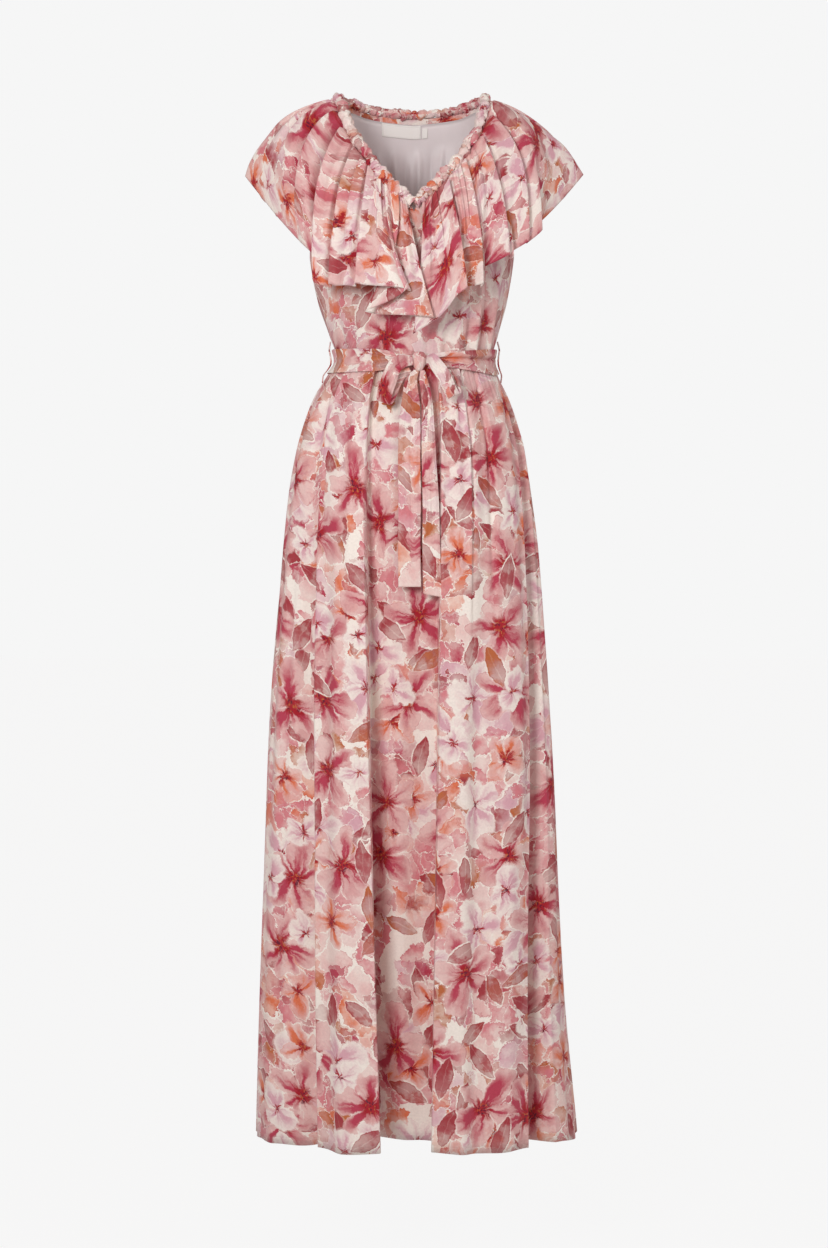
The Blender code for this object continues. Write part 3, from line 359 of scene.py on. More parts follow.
# Each piece: its cloth, its place on the print, its grid of columns and rows, its flat cut in metres,
# the area of a cut that isn't a rectangle, and what holds it. Its node is its name but the last word.
Cut = namedtuple("Cut", "name slot shift grid flat area held rests_on")
CUTS = {cut.name: cut for cut in listed(
    Cut,
    ("skirt_front_panel", CREPE, (0.0, 0.0), (418, 90), (0.98, 1.13), 0.805, "hung", "waist_belt_band"),
    ("skirt_back_panel", CREPE, (1.9, 0.4), (360, 80), (0.86, 1.13), 0.720, "hung", "waist_belt_band"),
    ("bodice_front_panel", CREPE, (2.6, 1.3), (120, 70), (0.46, 0.38), 0.112, "gathered",
     "neck_casing_left_roll"),
    ("bodice_back_panel", CREPE, (3.3, 1.9), (112, 64), (0.46, 0.38), 0.126, "gathered",
     "neck_casing_back_roll"),
    ("back_lining_panel", LINING, (0.0, 0.0), (130, 50), (0.33, 0.37), 0.092, "hung",
     "bodice_back_panel"),
    ("neck_band_strip", CREPE, (4.1, 2.7), (80, 6), (0.24, 0.010), None, "laid", "back_lining_panel"),
    ("neck_label_tag", LABEL, (4.1, 2.7), (36, 14), (0.056, 0.021), None, "laid", "back_lining_panel"),
    ("size_tab_tag", LABEL, (4.1, 2.7), (8, 12), (0.010, 0.015), None, "laid", "back_lining_panel"),
    ("collar_left_flounce", CREPE, (0.7, 3.4), (600, 56), (0.62, 0.42), 0.156, "gathered",
     "neck_casing_left_roll"),
    ("collar_right_flounce", CREPE, (2.2, 4.8), (600, 56), (0.62, 0.42), 0.131, "gathered",
     "neck_casing_right_roll"),
    ("neck_casing_left_roll", CREPE, (8.1, 1.2), (420, 28), (0.34, 0.042), None, "gathered",
     "bodice_front_panel"),
    ("neck_casing_right_roll", CREPE, (9.4, 2.1), (420, 28), (0.34, 0.039), None, "gathered",
     "bodice_front_panel"),
    ("neck_casing_back_roll", CREPE, (8.8, 3.2), (460, 28), (0.37, 0.037), None, "gathered",
     "bodice_back_panel"),
    ("waist_belt_band", CREPE, (5.9, 3.6), (360, 44), (0.66, 0.036), None, "gathered",
     "skirt_front_panel"),
    ("belt_carrier_left_loop", CREPE, (1.13, 2.21), (60, 10), (0.064, 0.010), 0.00045, "stretched",
     "bodice_front_panel"),
    ("belt_carrier_right_loop", CREPE, (1.13, 2.21), (60, 10), (0.064, 0.010), 0.00045, "stretched",
     "bodice_front_panel"),
    ("belt_knot_wrap", CREPE, (7.7, 5.1), (48, 28), (0.045, 0.027), None, "gathered", "waist_belt_band"),
    ("bow_loop_left_band", CREPE, (6.4, 0.3), (22, 90), (0.155, 0.022), None, "folded", "belt_knot_wrap"),
    ("bow_loop_right_band", CREPE, (7.1, 0.8), (22, 90), (0.150, 0.019), None, "folded",
     "belt_knot_wrap"),
    ("belt_tail_left_band", CREPE, (6.9, 1.7), (24, 120), (0.305, 0.032), None, "hung", "belt_knot_wrap"),
    ("belt_tail_right_band", CREPE, (7.9, 2.4), (24, 120), (0.318, 0.024), None, "hung",
     "belt_knot_wrap"),
)}

# The print, in metres on the flat cloth. Kept is the share of its marks that are left out, and shift
# moves a layer off the others. A shade is a place from 0 to 1 and the paint that starts there.
PALE = ((0.0, "shell"), (0.26, "lilac"), (0.44, "pink"), (0.62, "shell"), (0.74, "coral"), (0.84, "lilac"))
DEEP = ((0.0, "pink"), (0.28, "rose"), (0.44, "leaf"), (0.58, "coral"), (0.70, "pink"), (0.88, "ochre"))
Stroke = namedtuple("Stroke", "size shift shades kept weak strong gap")
STROKES = listed(
    Stroke,
    (0.052, (0.31, 0.77, 0), PALE, 0.22, 0.55, 1.00, 0.040),
    (0.036, (1.13, 0.29, 0), DEEP, 0.44, 0.34, 1.00, 0.034),
    (0.022, (2.41, 1.83, 0), DEEP, 0.66, 0.40, 0.95, 0.044),
)
Leaf = namedtuple("Leaf", "size long wide shift kept")
LEAF_UNDER = Leaf(0.060, 0.026, 0.0100, (0.53, 0.11, 0), 0.44)
LEAF_OVER = Leaf(0.084, 0.031, 0.0112, (2.07, 1.41, 0), 0.58)
Blossom = namedtuple("Blossom", "size reach petals shift pale deep kept heart faint")
BLOSSOMS = listed(
    Blossom,
    (0.112, 0.044, 3.0, (0.97, 0.61, 0), "ground", "lilac", 0.34, 0.0036, 0.80),
    (0.104, 0.034, 4.0, (3.19, 2.23, 0), "shell", "coral", 0.42, 0.0064, 0.60),
    (0.112, 0.052, 5.0, (1.71, 0.43, 0), "shell", "rose", 0.20, 0.0104, 0.70),
    (0.094, 0.028, 2.0, (4.37, 1.09, 0), "ground", "lilac", 0.62, 0.0034, 0.90),
)
# How far the wet paint strays from a stroke, a blossom and a leaf.
STRAY_STROKE, STRAY_BLOSSOM, STRAY_LEAF = 0.034, 0.020, 0.011
ALL_ROUND = 6.283        # a full turn in radians, for a mark that may lie any way
HEM_STITCHES = 0.009     # how far the sewn line lies in from a hem
LABEL_STITCHES = 0.0018  # and from the label's edge

# The soft box on the left, level with the bust, so that the skirt darkens towards its hem, and the
# fill from the right. Turns are in degrees.
KEY_PLACE = Vector((-0.80, -2.30, -0.10))
KEY_AIM = Vector((0, 0, -0.35))
KEY_SIZE = 0.65
FILL_SPREAD = 60
FILL_TURN = (65, 0, 50)
# The floor's own grey, which takes the shade, and how brightly it shows the backdrop's tone.
FLOOR_GREY = 0.05
FLOOR_SHOWS = 0.973

# Settings that many nodes share
SOFTLY = {"interpolation_type": "SMOOTHSTEP"}
TIMES = {"operation": "MULTIPLY"}
TIMES_PLUS = {"operation": "MULTIPLY_ADD"}
FLAT_CELLS = {"voronoi_dimensions": "2D"}
FLAT_NOISE = {"noise_dimensions": "2D"}


def linear(colour):
    """An sRGB hex colour as the linear values that a shader takes."""
    channels = [int(colour[i:i + 2], 16) / 255 for i in (1, 3, 5)]
    return [c / 12.92 if c <= 0.04045 else ((c + 0.055) / 1.055) ** 2.4 for c in channels]


def paint(name, colour, where):
    """A colour that a user may change."""
    return FloatVectorProperty(
        name=name, description=where, default=linear(colour), size=3, min=0, max=1, subtype="COLOR"
    )


def length(name, value, what):
    """A size in metres that a user may change."""
    return FloatProperty(name=name, description=what, default=value, min=0, unit="LENGTH", precision=4)


class DressCloth(bpy.types.PropertyGroup):
    """Sizes of the cloth beyond the cut."""

    crepe_wall: length("Crepe", 0.0008, "Thickness of the crepe with its finished edges")
    lining_wall: length("Lining", 0.0005, "Thickness of the satin lining")
    waist_gather: length("Waist gathers", 0.0011, "Height of the small gathers at the waist seam")
    collar_gather: length("Collar gathers", 0.0046, "Height of the gathers where the collar leaves the neck")
    casing_gather: length("Casing gathers", 0.0050, "Height of the ruching on the rolled neck edge")
    drape: length("Drape", 0.0022, "How far the cloth wanders from its even fall")
    collar_gathers: IntProperty(name="Gathers", description="Gathers on one side's collar", default=40)


class DressPaint(bpy.types.PropertyGroup):
    """Colours of the print, the lining and the label."""

    ground: paint("Ground", "#F8F1E8", "The crepe between the flowers")
    shell: paint("Shell pink", "#E8BDB9", "The palest petals")
    lilac: paint("Lilac", "#DAA9B4", "The cool petals")
    pink: paint("Pink", "#D8838A", "The petals between pale and rose")
    rose: paint("Rose", "#B94056", "The open flowers")
    red: paint("Red", "#A81624", "The hearts of the open flowers")
    coral: paint("Coral", "#DE7652", "The warm washes")
    leaf: paint("Leaf", "#A63A42", "The mauve leaves")
    ochre: paint("Ochre", "#BE6A3E", "The brown of some leaves")
    stamen: paint("Stamen", "#5A1230", "The dark dots in the hearts")
    lining: paint("Lining", "#E4DCDD", "The satin inside the back")
    label: paint("Label", "#F8F6F2", "The blank woven label")


class DressStage(bpy.types.PropertyGroup):
    """The camera and the light."""

    distance: length("Distance", 3.4, "From the camera to the dress's middle plane")
    eye_drop: length("Eye", 0.751, "How far below the shoulder seams the camera stands")
    floor_drop: length("Floor", 1.66, "How far below the shoulder seams the floor lies")
    lens: FloatProperty(name="Lens", description="Focal length in millimetres", default=68.83, min=1)
    key: FloatProperty(name="Key light", description="Power of the soft box in watts", default=29.0)
    fill: FloatProperty(name="Fill light", description="Strength of the light from the right", default=0.50)
    walls: FloatProperty(name="Walls", description="Light that the pale walls give", default=0.42)
    bounce: paint("Wall light", "#FFEFEB", "The light that the walls give back, warm from the cloth")
    backdrop: paint("Backdrop", "#F6F6F6", "The pale studio round the dress")


def add(tree, kind, inputs=None, **settings):
    """A shader node with its settings. Inputs are values, nodes or outputs, by name or in order."""
    node = tree.nodes.new("ShaderNode" + kind)
    for name, value in settings.items():
        setattr(node, name, value)
    if isinstance(inputs, tuple):
        inputs = {i: value for i, value in enumerate(inputs) if value is not None}
    for name, value in (inputs or {}).items():
        if isinstance(value, bpy.types.Node):
            value = value.outputs[0]
        if isinstance(value, bpy.types.NodeSocket):
            tree.links.new(value, node.inputs[name])
        else:
            node.inputs[name].default_value = value
    return node

def new_material(name):
    """A new material and its node tree."""
    look = bpy.data.materials.new(name)
    look.use_nodes = True
    return look, look.node_tree


def opaque(colour):
    return (*colour, 1.0)


def settle(tree, constants):
    """Set the shader's own sockets, and give the shader."""
    shader = tree.nodes["Principled BSDF"]
    for name, value in constants.items():
        shader.inputs[name].default_value = value
    return shader


def dress_in(tree, colour, height, strength, depth, constants):
    """Give the shader its colour, its relief and its constants."""
    shader = settle(tree, constants)
    relief = add(tree, "Bump", {"Height": height, "Strength": strength, "Distance": depth})
    tree.links.new(colour.outputs[0], shader.inputs["Base Color"])
    tree.links.new(relief.outputs[0], shader.inputs["Normal"])


def dimmed(tree, colour, share):
    """A colour times a share of its light."""
    grey = add(tree, "CombineColor", (share, share, share))
    return add(tree, "MixRGB", (1.0, colour, grey), blend_type="MULTIPLY")


def stitches(tree, inset, outer, inner, depth):
    """A sewn line that lies so far in from the finished edges, as deep as depth in its middle: sunk relief
    on the crepe, and painted shade in the colour on the label.
    """
    way = add(tree, "Attribute", attribute_name="hem_way").outputs["Fac"]
    off = add(tree, "Math", (way, inset), operation="SUBTRACT")
    off = add(tree, "Math", (off,), operation="ABSOLUTE")
    return add(tree, "MapRange", (off, outer, inner, 0.0, depth), **SOFTLY)


def scattered(tree, cloth, size, shift, randomness):
    """One mark in each cell: where it is looked up, the way from its middle, and its lot."""
    moved = add(tree, "VectorMath", (cloth, shift), operation="ADD")
    where = {"Vector": moved, "Scale": 1 / size, "Randomness": randomness}
    cells = add(tree, "TexVoronoi", where, **FLAT_CELLS)
    away = add(tree, "VectorMath", (moved, cells.outputs["Position"]), operation="SUBTRACT")
    return where, away, add(tree, "SeparateColor", (cells.outputs["Color"],))


# What a layer is painted with: the strayed flat of the cloth, where the paint pools, and the paints
Brush = namedtuple("Brush", "cloth pools paints")


def stroke_layer(tree, colour, brush, stroke):
    """Loose strokes the size of a petal over the colour, each one a shade, with a wash and a rim."""
    paints, size, gap = brush.paints, stroke.size, stroke.gap
    where, away, lot = scattered(tree, brush.cloth, size, stroke.shift, 1.0)
    rims = add(tree, "TexVoronoi", where, feature="DISTANCE_TO_EDGE", **FLAT_CELLS).outputs["Distance"]
    turn = add(tree, "Math", (lot.outputs[0], ALL_ROUND), **TIMES)
    aim = add(tree, "CombineXYZ", (
        add(tree, "Math", (turn,), operation="COSINE"), add(tree, "Math", (turn,), operation="SINE"),
    ))
    along = add(tree, "VectorMath", (away, aim), operation="DOT_PRODUCT").outputs["Value"]
    wash = add(tree, "MapRange", (along, -0.45 * size, 0.45 * size), **SOFTLY)
    ramp = add(tree, "ValToRGB", (lot.outputs[1],))
    ramp.color_ramp.interpolation = "CONSTANT"
    for i, (at, shade) in enumerate(stroke.shades):
        mark = ramp.color_ramp.elements[i] if i < 2 else ramp.color_ramp.elements.new(at)
        mark.position = at
        mark.color = opaque(getattr(paints, shade))
    body = add(tree, "MapRange", (wash, 0.0, 1.0, stroke.weak, stroke.strong))
    wet = add(tree, "MapRange", (brush.pools, 0.0, 1.0, 0.60, 1.15))
    body = add(tree, "Math", (body, wet), use_clamp=True, **TIMES)
    inner = add(tree, "MapRange", (rims, 0.6 * gap, gap), **SOFTLY)
    laid = add(tree, "MapRange", (lot.outputs[2], stroke.kept, stroke.kept + 0.01))
    # the ground stays bare round each stroke
    bare = add(tree, "MapRange", (inner, 1.0, 0.0, 0.0, 0.85))
    bare = add(tree, "Math", (bare, laid), **TIMES)
    colour = add(tree, "MixRGB", (bare, colour, opaque(paints.ground)))
    laid = add(tree, "Math", (laid, inner), **TIMES)
    body = add(tree, "Math", (body, laid), **TIMES)
    colour = add(tree, "MixRGB", (body, colour, ramp))
    # pigment pools along some of the rims
    line = add(tree, "MapRange", (rims, gap + 0.034, gap + 0.010, 0.0, 0.46), **SOFTLY)
    line = add(tree, "Math", (line, wash), **TIMES)
    line = add(tree, "Math", (line, laid), **TIMES)
    return add(tree, "MixRGB", (line, colour, opaque(paints.rose)))


def room_for(tree, colour, brush, inside, lot, kept):
    """Room for leaves or blossoms: the colour with a ragged rim of bare ground, 2 mm wide, round each,
    which of them are there, and where those lie."""
    there = add(tree, "MapRange", (lot.outputs[2], kept, kept + 0.01))
    edge = add(tree, "MapRange", (inside, -0.0026, -0.0012), **SOFTLY)
    edge = add(tree, "Math", (edge, there), **TIMES)
    broken = add(tree, "MapRange", (brush.pools, 0.15, 0.60, 0.95, 0.25), **SOFTLY)
    edge = add(tree, "Math", (edge, broken), **TIMES)
    colour = add(tree, "MixRGB", (edge, colour, opaque(brush.paints.ground)))
    mask = add(tree, "MapRange", (inside, 0.0, 0.0005), **SOFTLY)
    return colour, there, add(tree, "Math", (mask, there), **TIMES)


def leaf_layer(tree, colour, brush, leaf):
    """Pointed leaves in mauve and ochre over the colour, with a vein, a dark rim and a bare edge."""
    paints, pools = brush.paints, brush.pools
    _, away, lot = scattered(tree, brush.cloth, leaf.size, leaf.shift, 0.9)
    turn = add(tree, "Math", (lot.outputs[0], 2.4, 0.4), **TIMES_PLUS)
    turned = add(tree, "VectorRotate", {"Vector": away, "Angle": turn}, rotation_type="Z_AXIS")
    part = add(tree, "SeparateXYZ", (turned,))
    along = add(tree, "Math", (part.outputs[0], 1 / leaf.long), **TIMES)
    square = add(tree, "Math", (along, along), **TIMES)
    taper = add(tree, "Math", (square, -1.0, 1.0), **TIMES_PLUS)
    across = add(tree, "Math", (part.outputs[1],), operation="ABSOLUTE")
    back = add(tree, "Math", (across, -1.0), **TIMES)
    inside = add(tree, "Math", (taper, leaf.wide, back), **TIMES_PLUS)
    colour, _, mask = room_for(tree, colour, brush, inside, lot, leaf.kept)
    brown = add(tree, "MapRange", (lot.outputs[1], 0.60, 0.80))
    brown = add(tree, "Math", (brown, pools), **TIMES)
    shade = add(tree, "MixRGB", (brown, opaque(paints.leaf), opaque(paints.ochre)))
    body = add(tree, "MapRange", (along, 1.2, -1.1, 0.62, 1.0), **SOFTLY)
    wet = add(tree, "MapRange", (pools, 0.0, 1.0, 0.78, 1.10))
    body = add(tree, "Math", (body, wet), **TIMES)
    vein = add(tree, "MapRange", (across, 0.0010, 0.0003, 0.0, -0.16), **SOFTLY)
    edge = add(tree, "MapRange", (inside, 0.0020, 0.0004, 0.0, 0.22), **SOFTLY)
    body = add(tree, "Math", (body, vein), operation="ADD")
    body = add(tree, "Math", (body, edge), operation="ADD", use_clamp=True)
    body = add(tree, "Math", (mask, body), **TIMES)
    return add(tree, "MixRGB", (body, colour, shade))


def petals_of(tree, cloth, blossom):
    """The petals of open blossoms: how far inside their rims, their share outwards, their lot and
    radius, the streaks from their hearts, the gaps between petals and how full each petal is."""
    _, away, lot = scattered(tree, cloth, blossom.size, blossom.shift, 0.78)
    radius = add(tree, "VectorMath", (away,), operation="LENGTH").outputs["Value"]
    part = add(tree, "SeparateXYZ", (away,))
    turn = add(tree, "Math", (part.outputs[1], part.outputs[0]), operation="ARCTAN2")
    start = add(tree, "Math", (lot.outputs[0], ALL_ROUND), **TIMES)
    half = add(tree, "Math", (turn, blossom.petals / 2, start), **TIMES_PLUS)
    lobe = add(tree, "Math", (half,), operation="COSINE")
    lobe = add(tree, "Math", (lobe,), operation="ABSOLUTE")
    aim = add(tree, "VectorMath", (away,), operation="NORMALIZE")
    far = add(tree, "Math", (lot.outputs[1], 40.0), **TIMES)
    apart = add(tree, "CombineXYZ", (0.0, 0.0, far))
    full = add(tree, "VectorMath", (aim, (1.1, 1.1, 0.0), apart), **TIMES_PLUS)
    full = add(tree, "TexNoise", {"Vector": full, "Scale": 1.0, "Detail": 1.0})
    rim = add(tree, "Math", (lobe, 0.7), operation="POWER")
    rim = add(tree, "Math", (rim, 0.62 * blossom.reach, 0.38 * blossom.reach), **TIMES_PLUS)
    own = add(tree, "Math", (full, 1.5, 0.25), **TIMES_PLUS)
    rim = add(tree, "Math", (rim, own), **TIMES)
    inside = add(tree, "Math", (rim, radius), operation="SUBTRACT")
    outwards = add(tree, "Math", (radius, rim), operation="DIVIDE")
    rise = add(tree, "Math", (radius, 16.0, far), **TIMES_PLUS)
    rays = add(tree, "CombineXYZ", (0.0, 0.0, rise))
    rays = add(tree, "VectorMath", (aim, (2.5, 2.5, 0.0), rays), **TIMES_PLUS)
    streaks = add(tree, "TexNoise", {"Vector": rays, "Scale": 1.0, "Detail": 4.0, "Roughness": 0.6})
    return inside, outwards, lot, radius, streaks, lobe, full


def blossom_layer(tree, colour, brush, blossom):
    """Blossoms over the colour: some petals soaked and some nearly bare, round a dotted red heart."""
    paints, heart = brush.paints, blossom.heart
    pale, deep = opaque(getattr(paints, blossom.pale)), opaque(getattr(paints, blossom.deep))
    inside, outwards, lot, radius, streaks, lobe, full = petals_of(tree, brush.cloth, blossom)
    colour, there, mask = room_for(tree, colour, brush, inside, lot, blossom.kept)
    inward = add(tree, "MapRange", (outwards, 1.05, 0.05))
    mottled = add(tree, "MapRange", (streaks, 0.36, 0.62, 0.35, 1.60), **SOFTLY)
    depth = add(tree, "Math", (inward, mottled), **TIMES)
    soaked = add(tree, "MapRange", (full, 0.38, 0.58, 0.26, 1.50), **SOFTLY)
    depth = add(tree, "Math", (depth, soaked), use_clamp=True, **TIMES)
    petal = add(tree, "MixRGB", (depth, pale, deep))
    notch = add(tree, "MapRange", (lobe, 0.02, 0.30, 0.45, 1.0), **SOFTLY)
    body = add(tree, "MapRange", (depth, 0.0, 0.6, blossom.faint, 1.0))
    body = add(tree, "Math", (body, notch), **TIMES)
    body = add(tree, "Math", (body, mask), **TIMES)
    colour = add(tree, "MixRGB", (body, colour, petal))
    edge = add(tree, "MapRange", (inside, 0.0020, 0.0007, 0.0, 0.50), **SOFTLY)
    edge = add(tree, "Math", (edge, brush.pools), **TIMES)
    edge = add(tree, "Math", (edge, mask), **TIMES)
    colour = add(tree, "MixRGB", (edge, colour, deep))
    wobble = add(tree, "Math", (streaks, 0.040, -0.020), **TIMES_PLUS)
    wobble = add(tree, "Math", (radius, wobble), operation="SUBTRACT")
    core = add(tree, "MapRange", (wobble, 1.8 * heart, 0.7 * heart, 0.0, 0.97), **SOFTLY)
    core = add(tree, "Math", (core, there), **TIMES)
    colour = add(tree, "MixRGB", (core, colour, opaque(paints.red)))
    dots = add(tree, "TexVoronoi", {"Vector": brush.cloth, "Scale": 240.0}, **FLAT_CELLS)
    gold = add(tree, "SeparateColor", (dots.outputs["Color"],))
    gold = add(tree, "MapRange", (gold, 0.60, 0.62))
    gold = add(tree, "MixRGB", (gold, opaque(paints.stamen), opaque(paints.ochre)))
    dots = add(tree, "MapRange", (dots.outputs["Distance"], 0.40, 0.22, 0.0, 0.9), **SOFTLY)
    near = add(tree, "MapRange", (radius, 1.4 * heart, 0.6 * heart), **SOFTLY)
    dots = add(tree, "Math", (dots, near), **TIMES)
    dots = add(tree, "Math", (dots, there), **TIMES)
    return add(tree, "MixRGB", (dots, colour, gold))


def watercolour(tree, cut, paints):
    """Loose blossoms and leaves, painted wet in wet on a cream ground."""
    sway = {"Vector": cut, "Scale": 36.0, "Detail": 6.0, "Roughness": 0.66}
    sway = add(tree, "TexNoise", sway, **FLAT_NOISE).outputs["Color"]
    sway = add(tree, "VectorMath", (sway, (0.5, 0.5, 0.5)), operation="SUBTRACT")
    cloud = {"Vector": cut, "Scale": 34.0, "Detail": 4.0, "Roughness": 0.6}
    pools = add(tree, "MapRange", (add(tree, "TexNoise", cloud, **FLAT_NOISE), 0.34, 0.66), **SOFTLY)
    loose, steady, calm = (
        Brush(add(tree, "VectorMath", (sway, (far, far, 0.0), cut), **TIMES_PLUS), pools, paints)
        for far in (STRAY_STROKE, STRAY_BLOSSOM, STRAY_LEAF)
    )
    colour = opaque(paints.ground)
    for stroke in STROKES:
        colour = stroke_layer(tree, colour, loose, stroke)
    colour = leaf_layer(tree, colour, calm, LEAF_UNDER)
    for blossom in BLOSSOMS:
        colour = blossom_layer(tree, colour, steady, blossom)
    colour = leaf_layer(tree, colour, calm, LEAF_OVER)
    grain = add(tree, "TexNoise", {"Vector": cut, "Scale": 330.0, "Detail": 3.0}, **FLAT_NOISE)
    return dimmed(tree, colour, add(tree, "Math", (grain, 0.20, 0.90), **TIMES_PLUS))


def printed_crepe(paints):
    """Polyester crepe georgette, woven of hard-twisted yarn and printed: matt and finely pebbled."""
    look, tree = new_material("printed_crepe_georgette")
    cut = add(tree, "UVMap", uv_map="cut")
    colour = watercolour(tree, cut, paints)
    # yarns lie 0.35 mm apart: drawn 1.6 mm apart, so that the pebbled weave shows
    yarns = {"Vector": cut, "Scale": 196.0, "Distortion": 2.0, "Detail": 1.0}
    warp = add(tree, "TexWave", yarns, wave_type="BANDS", bands_direction="X")
    weft = add(tree, "TexWave", yarns, wave_type="BANDS", bands_direction="Y")
    weave = add(tree, "Math", (warp.outputs["Fac"], weft.outputs["Fac"]), operation="ADD")
    crinkle = add(tree, "TexNoise", {"Vector": cut, "Scale": 160.0, "Detail": 2.0}, **FLAT_NOISE)
    weave = add(tree, "Math", (crinkle, 1.6, weave), **TIMES_PLUS)
    # a row of stitches holds the turned hem, 9 mm up
    line = stitches(tree, HEM_STITCHES, 0.0011, 0.0003, -2.4)
    height = add(tree, "Math", (line, weave), operation="ADD")
    dress_in(tree, colour, height, 0.22, 0.0006, {
        "Roughness": 0.82, "Specular IOR Level": 0.25, "Sheen Weight": 0.12, "Sheen Roughness": 0.5,
    })
    return look


def satin_lining(paints):
    """Polyester satin, woven smooth: a soft gloss that gathers along its folds."""
    look, tree = new_material("satin_lining")
    cut = add(tree, "UVMap", uv_map="cut")
    cloud = add(tree, "TexNoise", {"Vector": cut, "Scale": 24.0, "Detail": 2.0}, **FLAT_NOISE)
    tint = add(tree, "Math", (cloud, 0.16, 0.92), **TIMES_PLUS)
    # weft ribs 0.2 mm apart, drawn 1.2 mm apart
    ribs = add(tree, "TexWave", {"Vector": cut, "Scale": 260.0, "Distortion": 0.6},
               wave_type="BANDS", bands_direction="Y").outputs["Fac"]
    dress_in(tree, dimmed(tree, opaque(paints.lining), tint), ribs, 0.12, 0.0003, {
        "Roughness": 0.48, "Sheen Weight": 0.2,
    })
    return look


def label_satin(paints):
    """White ribbon woven of polyester, blank: fine ribs and a sewn edge."""
    look, tree = new_material("label_woven_ribbon")
    cut = add(tree, "UVMap", uv_map="cut")
    ribs = add(tree, "TexWave", {"Vector": cut, "Scale": 420.0, "Distortion": 0.3},
               wave_type="BANDS", bands_direction="X").outputs["Fac"]
    line = stitches(tree, LABEL_STITCHES, 0.0006, 0.0002, -0.12)
    # painted shade: the label is coloured a little darker in the grooves between its ribs and along its sewn
    # line, where the ribbon sinks
    tint = add(tree, "Math", (ribs, 0.05, 0.95), **TIMES_PLUS)
    tint = add(tree, "Math", (tint, line), operation="ADD")
    dress_in(tree, dimmed(tree, opaque(paints.label), tint), ribs, 0.15, 0.0002, {"Roughness": 0.42})
    return look


def studio_floor(backdrop):
    """Matt painted floor: a pale ground that takes a faint soft shade."""
    look, tree = new_material("matt_studio_floor")
    settle(tree, {
        "Base Color": opaque((FLOOR_GREY,) * 3), "Roughness": 0.95, "Specular IOR Level": 0.0,
        "Emission Color": opaque(backdrop), "Emission Strength": FLOOR_SHOWS,
    })
    return look


LOOKS = {CREPE: printed_crepe, LINING: satin_lining, LABEL: label_satin}
MADE_LOOKS = {}


def look_for(slot):
    """The material of a slot, made once."""
    if slot not in MADE_LOOKS:
        MADE_LOOKS[slot] = LOOKS[slot](bpy.context.scene.dress_paint)
    return MADE_LOOKS[slot]


def mix(low, high, share):
    return low + (high - low) * share


def smooth(share):
    """0 to 1 with level ends, as cloth turns from a hollow to a crest."""
    return share * share * (3 - 2 * share)


def slope_at(keys, values, i):
    """The slope through a row that keeps the curve from overshooting its neighbours."""
    if i == 0:
        return (values[1] - values[0]) / (keys[1] - keys[0])
    if i == len(keys) - 1:
        return (values[i] - values[i - 1]) / (keys[i] - keys[i - 1])
    before = (values[i] - values[i - 1]) / (keys[i] - keys[i - 1])
    after = (values[i + 1] - values[i]) / (keys[i + 1] - keys[i])
    if before * after <= 0:
        return 0.0
    return 2 * before * after / (before + after)


def read(table, where, column):
    """A column's value at a place in a table's first column, on a smooth curve through its rows."""
    keys = [row[0] for row in table]
    values = [getattr(row, column) for row in table]
    where = min(max(where, keys[0]), keys[-1])
    i = next(n for n in range(len(keys) - 1) if where <= keys[n + 1])
    span = keys[i + 1] - keys[i]
    t = (where - keys[i]) / span
    start = slope_at(keys, values, i) * span
    end = slope_at(keys, values, i + 1) * span
    return (
        values[i] * (2 * t**3 - 3 * t**2 + 1)
        + start * (t**3 - 2 * t**2 + t)
        + values[i + 1] * (3 * t**2 - 2 * t**3)
        + end * (t**3 - t**2)
    )


def through(table, where):
    """All columns at a share of the way along a table's rows, on a round curve through them."""
    last = len(table) - 1
    i = min(int(where * last), last - 1)
    t = where * last - i
    rows = (table[max(i - 1, 0)], table[i], table[i + 1], table[min(i + 2, last)])
    return type(table[0])(*(
        (2 * b + (c - a) * t + (2 * a - 5 * b + 4 * c - d) * t**2 + (3 * b - a - 3 * c + d) * t**3) / 2
        for a, b, c, d in zip(*rows)
    ))


def between(table, place, column, turn=smooth):
    """A column's value at a place from place_at: level at each crest and hollow."""
    i, share = place
    return mix(getattr(table[i], column), getattr(table[i + 1], column), turn(share))


def evenly(table, place, column):
    """A column's value at a place from place_at, on a straight line between its rows."""
    return between(table, place, column, float)


def figure(angle, drop, out=0.0, along=0.0):
    """A point on the figure, moved outwards and along its girth. Angle is in radians."""
    width = read(FIGURE, drop, "right" if math.sin(angle) > 0 else "left")
    depth = read(FIGURE, drop, "front" if math.cos(angle) > 0 else "back")
    outward = Vector((math.sin(angle) / width, -math.cos(angle) / depth, 0)).normalized()
    girthwise = Vector((-outward.y, outward.x, 0))
    on_figure = Vector((width * math.sin(angle), -depth * math.cos(angle), -drop))
    return on_figure + outward * out + girthwise * along


def waist_drop(angle):
    """The waist seam's drop, a little lower in front."""
    return WAIST_DROP + WAIST_DIP * max(0.0, math.cos(angle))


def neck_point(share, side):
    """A point on the neck edge's middle line. Side is -1 on the left and 1 on the right."""
    across = read(NECK, share, "left" if side < 0 else "right")
    return Vector((side * across, read(NECK, share, "y"), -read(NECK, share, "drop")))


def hem_point(share, side):
    """A point of the collar's hem that belongs to a share of the neck edge."""
    ruffles = RUFFLES_LEFT if side < 0 else RUFFLES_RIGHT
    across = read(ruffles, share, "x")
    return Vector((side * across, read(ruffles, share, "y"), -read(ruffles, share, "drop")))


def mean_hem(share, side):
    """Where the collar's hem would lie there without its folds, which carry on past the centre back."""
    spread = [share + FOLD_SPAN * n / 4 for n in range(-4, 5)]
    points = [hem_point(min(at, 2 - at), side) for at in spread]
    middle = sum(points, Vector()) / len(points)
    middle.x = sum(point.x if at <= 1 else -point.x for at, point in zip(spread, points)) / len(points)
    return middle


